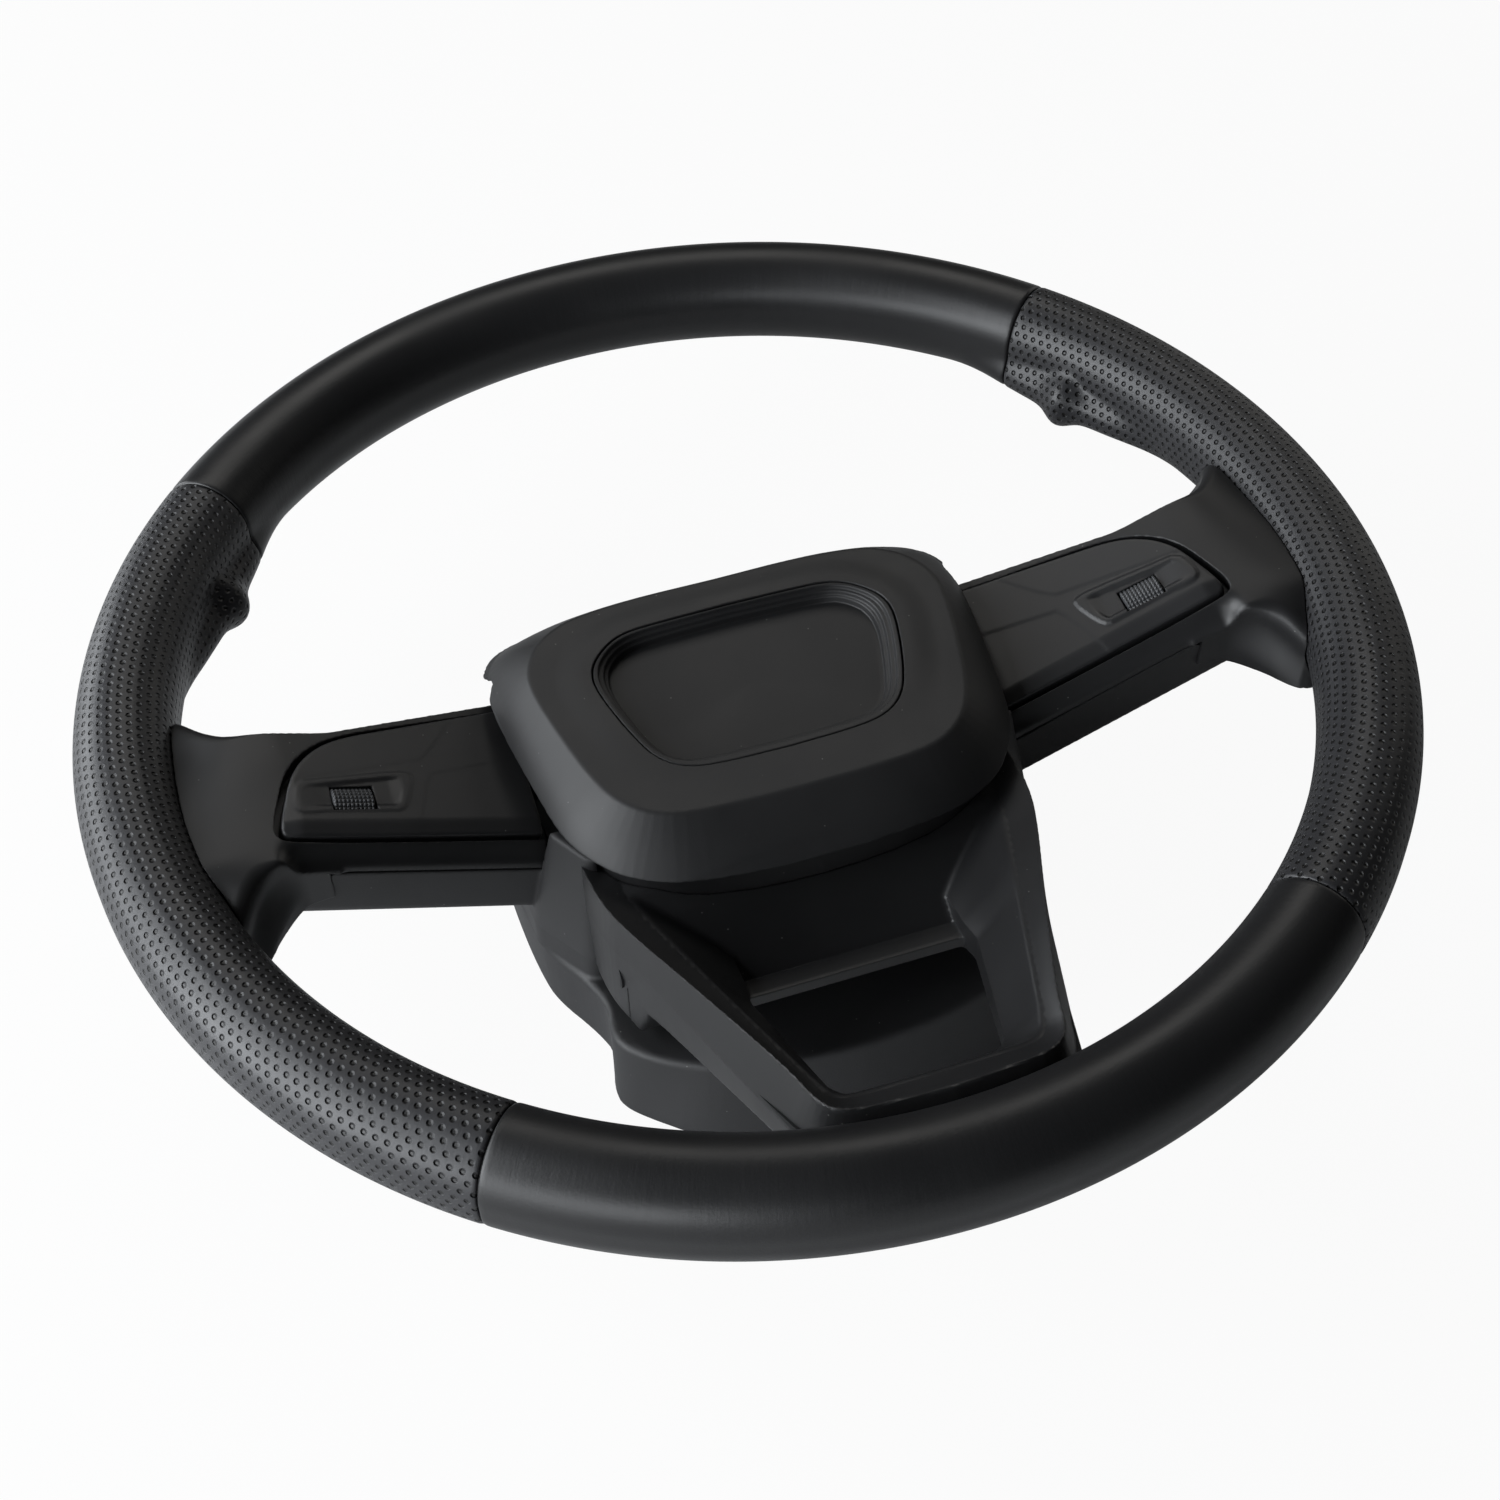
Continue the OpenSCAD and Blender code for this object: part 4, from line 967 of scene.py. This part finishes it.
# %%
def lower_field(x, y, z):
    q = z - RIM_Z
    ax = np.abs(x)
    front = -22.88 - 0.202 * y
    t = np.clip((front - q) / DRAFT_DEPTH, 0.0, 1.0)
    plan = (1 - t) * YOKE_FRONT(ax, y) + t * YOKE_REAR(ax, y)
    out = smax(plan, SIDE_VIEW(y, q), 1.6)
    # The front band falls evenly from the outline to the crease
    crease = CREASE_LOW(ax, y)
    near, far = np.maximum(-plan, 0.0), np.maximum(crease, 0.0)
    level = front - BAND_FALL * (near / np.maximum(near + far, 0.05)) + 0.3
    out = smax(out, (q - level) * 0.93, 0.6)
    # The funnel narrows from the crease to the mouth, down to the panel
    t = np.clip((-26.29 - 0.217 * y - q) / 16.3, 0.0, 1.0)
    wall = ((1 - t) * crease + t * MOUTH_LOW(ax, y)) * 0.75
    out = smax(out, -smax(wall, PANEL_VIEW(y, q), 1.4), 1.0)
    # Room for the airbag cover, for the module behind it and for the leather
    behind = np.maximum(SKIRT(x, y) + 5.0, -33.0 - q)
    out = smax(out, -behind, 0.5)
    room = np.maximum(np.maximum(ax - 58.0, -72.0 - y), q + 34.7)
    out = smax(out, -room, 0.6)
    return smax(out, 0.25 - rim_field(x, y, z), 0.4)


field_piece("lower_bezel_skin", "lower_bezel", lower_field, (-64, -165, RIM_Z - 52),
            (64, -44, RIM_Z + 12), 0.9, mat_lower)

# %% [markdown]
# ## Rear cover
# The cover behind the wheel is a deep matt moulding. A box-like body carries the two spokes'
# channels and ends in a wider drum with a flat rear face, which widens by 4 mm to the rear. The
# mould's edges are soft. It is hollow, with walls of 2.8 mm and four bosses for its screws, so
# that the view through the lower spoke and from behind is true.
# %%
BODY_TOP = table(round_outline([
    (-20, 38), (63, 38), (70, 8), (67.5, -34), (60, -47), (-20, -47)], [0.1, 18, 30, 8, 6, 0.1]), 1)
BODY_LOW = table(round_outline([
    (-20, 38), (70, 38), (77, 8), (74.5, -34), (63.5, -51.9), (-20, -51.9)],
    [0.1, 18, 30, 8, 6, 0.1]), 1)
DRUM_TOP = table([
    (-20, 38), (52, 38), (62, 36), (69, 31), (74, 22), (76.5, 8), (76.2, -12), (75, -28), (73, -38),
    (65, -52), (62.2, -62), (64, -69), (63, -75), (57.5, -81), (50, -86.3), (38, -92.3),
    (20, -96.7), (0, -97.9), (-20, -97.9)], 2)
DRUM_LOW = table([
    (-20, 36.8), (52, 36.8), (61, 35), (68, 30), (72.6, 22), (75.4, 8), (75.2, -12), (74, -28),
    (72, -38), (64.5, -52), (61.2, -62), (65.2, -72), (64.6, -79), (57, -86.8), (47.4, -95.0),
    (31, -100.4), (15, -102.8), (0, -103.3), (-20, -103.3)], 2)
ARM = table(round_outline([
    (-49, 26.2), (17.5, 9.8), (42, 8), (52, 13), (66, 26), (66, -46), (52, -38), (40, -32.9),
    (-49, -32.9)], [0.5, 8, 8, 10, 0.5, 0.5, 12, 8, 0.5]), 0)
WALL = 2.8
# Each boss by its place and the height of its top, and the radii of boss, screw hole and sink
BOSSES = [(56, -10, -47.6), (50, -66, -35.3)]
BOSS_R, HOLE_R, SINK_R = 5.0, 2.1, 3.8
REAR_Z, COLUMN_R = -80.0, 47.0
print("rear cover outlines:", len(DRUM_TOP.points), "and", len(DRUM_LOW.points), "points")


# %%
def rear_field(x, y, z):
    q, ax = z - RIM_Z, np.abs(x)
    t = np.clip((-11.3 - q) / 34.7, 0, 1)
    side = (1 - t) * BODY_TOP(ax, y) + t * BODY_LOW(ax, y)
    body = smax(side, np.maximum(q + 10.3, -56.0 - q), 1.0)
    t = np.clip((-56 - q) / 23.0, 0, 1)
    shell = (1 - t) * DRUM_TOP(ax, y) + t * DRUM_LOW(ax, y)
    drum = smax(shell, np.maximum(q + 55.0, REAR_Z - q), 2.0)
    out = smin(body, drum, 1.2)
    # The two channels behind the switches
    u, v, w = to_spoke(ax, y, z)
    plan = ARM(u, v)
    arm = smax(smax(plan, -27.0 - w, 4.0), w + 8.6, 0.3)
    arm = smax(arm, TUCK - rim_field(x, y, z), 0.5)
    arm = smax(arm, np.minimum(ax - 137.0, q + 13.6), 0.5)
    arm = np.maximum(arm, 60.0 - ax)
    out = smin(out, arm, 0.5)
    # The hollow is open at the top, towards the panel of the lower spoke and at the column
    inner = np.maximum(side + WALL, -53.2 - q)
    inner = np.minimum(inner, np.maximum(BODY_LOW(ax, y) + WALL, np.abs(q + 55.0) - 5.6))
    inner = np.minimum(inner, np.maximum(shell + WALL, np.maximum(q + 57.8, -77.2 - q)))
    inner = np.minimum(inner, np.maximum(np.maximum(plan + WALL, -24.2 - w), 50.0 - ax))
    inner = np.minimum(inner, np.maximum(np.maximum(ax - 58.0, np.abs(y + 60.0) - 20.0), -53.0 - q))
    inner = np.minimum(inner, np.maximum(BEZEL(u, v) - 0.3, -8.8 - w))
    out = smax(out, -inner, 0.5)
    for bx, by, top in BOSSES:
        r = np.hypot(ax - bx, y - by)
        boss = np.maximum(r - BOSS_R, np.maximum(q - top, REAR_Z + 1.0 - q))
        out = np.maximum(np.minimum(out, boss), HOLE_R - r)
        out = np.maximum(out, -np.maximum(r - SINK_R, q + 77.0))
    return smax(out, COLUMN_R - np.hypot(x, y) - 60.0 * step(q, -76.0, -72.0), 0.6)


field_piece("rear_cover_skin", "rear_cover", rear_field, (-151, -107, RIM_Z - 82),
            (151, 40, RIM_Z - 5), 1.15, mat_rear)

# %% [markdown]
# ## Materials on the CAD pieces that stay as they are
# The pieces inside the wheel are hardly seen, and their CAD meshes are already fine enough. Each
# keeps its mesh and takes the material of the real one.
# %%
DRESS = {
    "armature": mat_cast, "rim_foam": mat_foam, "cover_screws": mat_screw,
    "retainer_plate": mat_zinc, "inflator": mat_zinc, "inflator_nuts": mat_zinc,
    "airbag_cushion": mat_nylon, "guide_pins": mat_zinc, "horn_springs": mat_spring,
    "switch_housing_left": mat_rear, "switch_housing_right": mat_rear,
    "circuit_board_left": mat_board, "circuit_board_right": mat_board,
    "roller_cradle_left": mat_rear, "roller_cradle_right": mat_rear,
}
for name, mat in DRESS.items():
    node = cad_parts[name]
    node.data.materials.clear()
    node.data.materials.append(mat)
print("dressed", len(DRESS), "CAD pieces")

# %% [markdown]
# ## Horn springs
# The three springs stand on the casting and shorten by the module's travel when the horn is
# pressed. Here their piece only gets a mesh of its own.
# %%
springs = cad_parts["horn_springs"]
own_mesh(springs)

# %% [markdown]
# ## Floor
# A plain pale floor lies under the rear cover. The camera sees it nearly as white as the
# photograph's ground, while other rays meet a matt grey, so that it throws little light up.
# %%
FLOOR_HALF = 3.0
FLOOR_SHOWN = 0.94
floor_z = cad_box[0][2]
floor_mesh = bpy.data.meshes.new("floor")
floor_mesh.from_pydata([(FLOOR_HALF * i, FLOOR_HALF * j, floor_z)
                        for i, j in ((-1, -1), (1, -1), (1, 1), (-1, 1))], [], [(0, 1, 2, 3)])
floor = bpy.data.objects.new("floor", floor_mesh)
bpy.context.scene.collection.objects.link(floor)
mat_floor, floor_tree, floor_shader = surface("pale_floor", "c8c8c8", 0.9)
floor_ray = add(floor_tree, "LightPath")
floor_glow = add(floor_tree, "Emission", Color=(1, 1, 1, 1), Strength=1.0)
floor_share = maths(floor_tree, "MULTIPLY", floor_ray.outputs["Is Camera Ray"], FLOOR_SHOWN)
floor_mix = add(floor_tree, "MixShader", _0=floor_share, _1=floor_shader.outputs[0],
                _2=floor_glow.outputs[0])
floor_out = [n for n in floor_tree.nodes if n.bl_idname == "ShaderNodeOutputMaterial"][0]
floor_tree.links.new(floor_mix.outputs[0], floor_out.inputs[0])
floor.data.materials.append(mat_floor)
print("floor at", floor_z, "m")

# %% [markdown]
# ## Soft lights
# The photograph has a bright soft light low on the left, which draws the skirt and the rim's
# side, and weak ones at the back and on the right. Each is an area light that looks at the hub.
# Their places and sizes are in metres, and their watts were matched to the brightness of many
# places on the wheel.
# %%
def area_light(name, at, width, height, watts, colour):
    data = bpy.data.lights.new(name, "AREA")
    data.shape = "RECTANGLE"
    data.size, data.size_y, data.energy = width, height, watts
    data.color = colour
    lamp = bpy.data.objects.new(name, data)
    lamp.location = at
    lamp.rotation_mode = "QUATERNION"
    lamp.rotation_quaternion = (Vector((0, 0, 0.05)) - Vector(at)).to_track_quat("-Z", "Y")
    bpy.context.scene.collection.objects.link(lamp)
    return lamp


COOL, WARM = (0.93, 0.965, 1.0), (1.0, 0.98, 0.94)
area_light("soft_box_left", (-1.15, -0.15, 0.30), 0.9, 0.6, 15, COOL)
area_light("soft_box_left_high", (-0.9, 0.1, 0.8), 0.9, 0.5, 8.5, COOL)
area_light("soft_box_left_back", (-0.95, 0.75, 0.25), 0.9, 0.5, 6.5, COOL)
area_light("soft_box_left_front", (-0.8, -0.9, 0.25), 0.9, 0.5, 6.5, COOL)
area_light("soft_box_back", (0.1, 0.9, 1.1), 1.2, 0.5, 3.4, WARM)
area_light("soft_box_right", (1.0, 0.6, 0.4), 0.9, 0.7, 1.2, WARM)
print("six soft lights")

# %% [markdown]
# ## Surround
# The camera sees a plain white surround, while the wheel gets only a trace of light from it, so
# that its dark plastics stay dark.
# %%
SURROUND_LIGHT = 0.012
world = bpy.data.worlds.new("white_surround")
bpy.context.scene.world = world
world.use_nodes = True
wt = world.node_tree
wt.nodes.clear()
ray = add(wt, "LightPath")
lit = add(wt, "Background", Color=(1, 1, 1, 1), Strength=SURROUND_LIGHT)
seen = add(wt, "Background", Color=(1, 1, 1, 1), Strength=1.0)
mix = add(wt, "MixShader", _0=ray.outputs["Is Camera Ray"], _1=lit.outputs[0], _2=seen.outputs[0])
world_out = wt.nodes.new("ShaderNodeOutputWorld")
wt.links.new(mix.outputs[0], world_out.inputs[0])
bpy.context.scene.view_settings.view_transform = "Standard"
print("surround:", world.name)
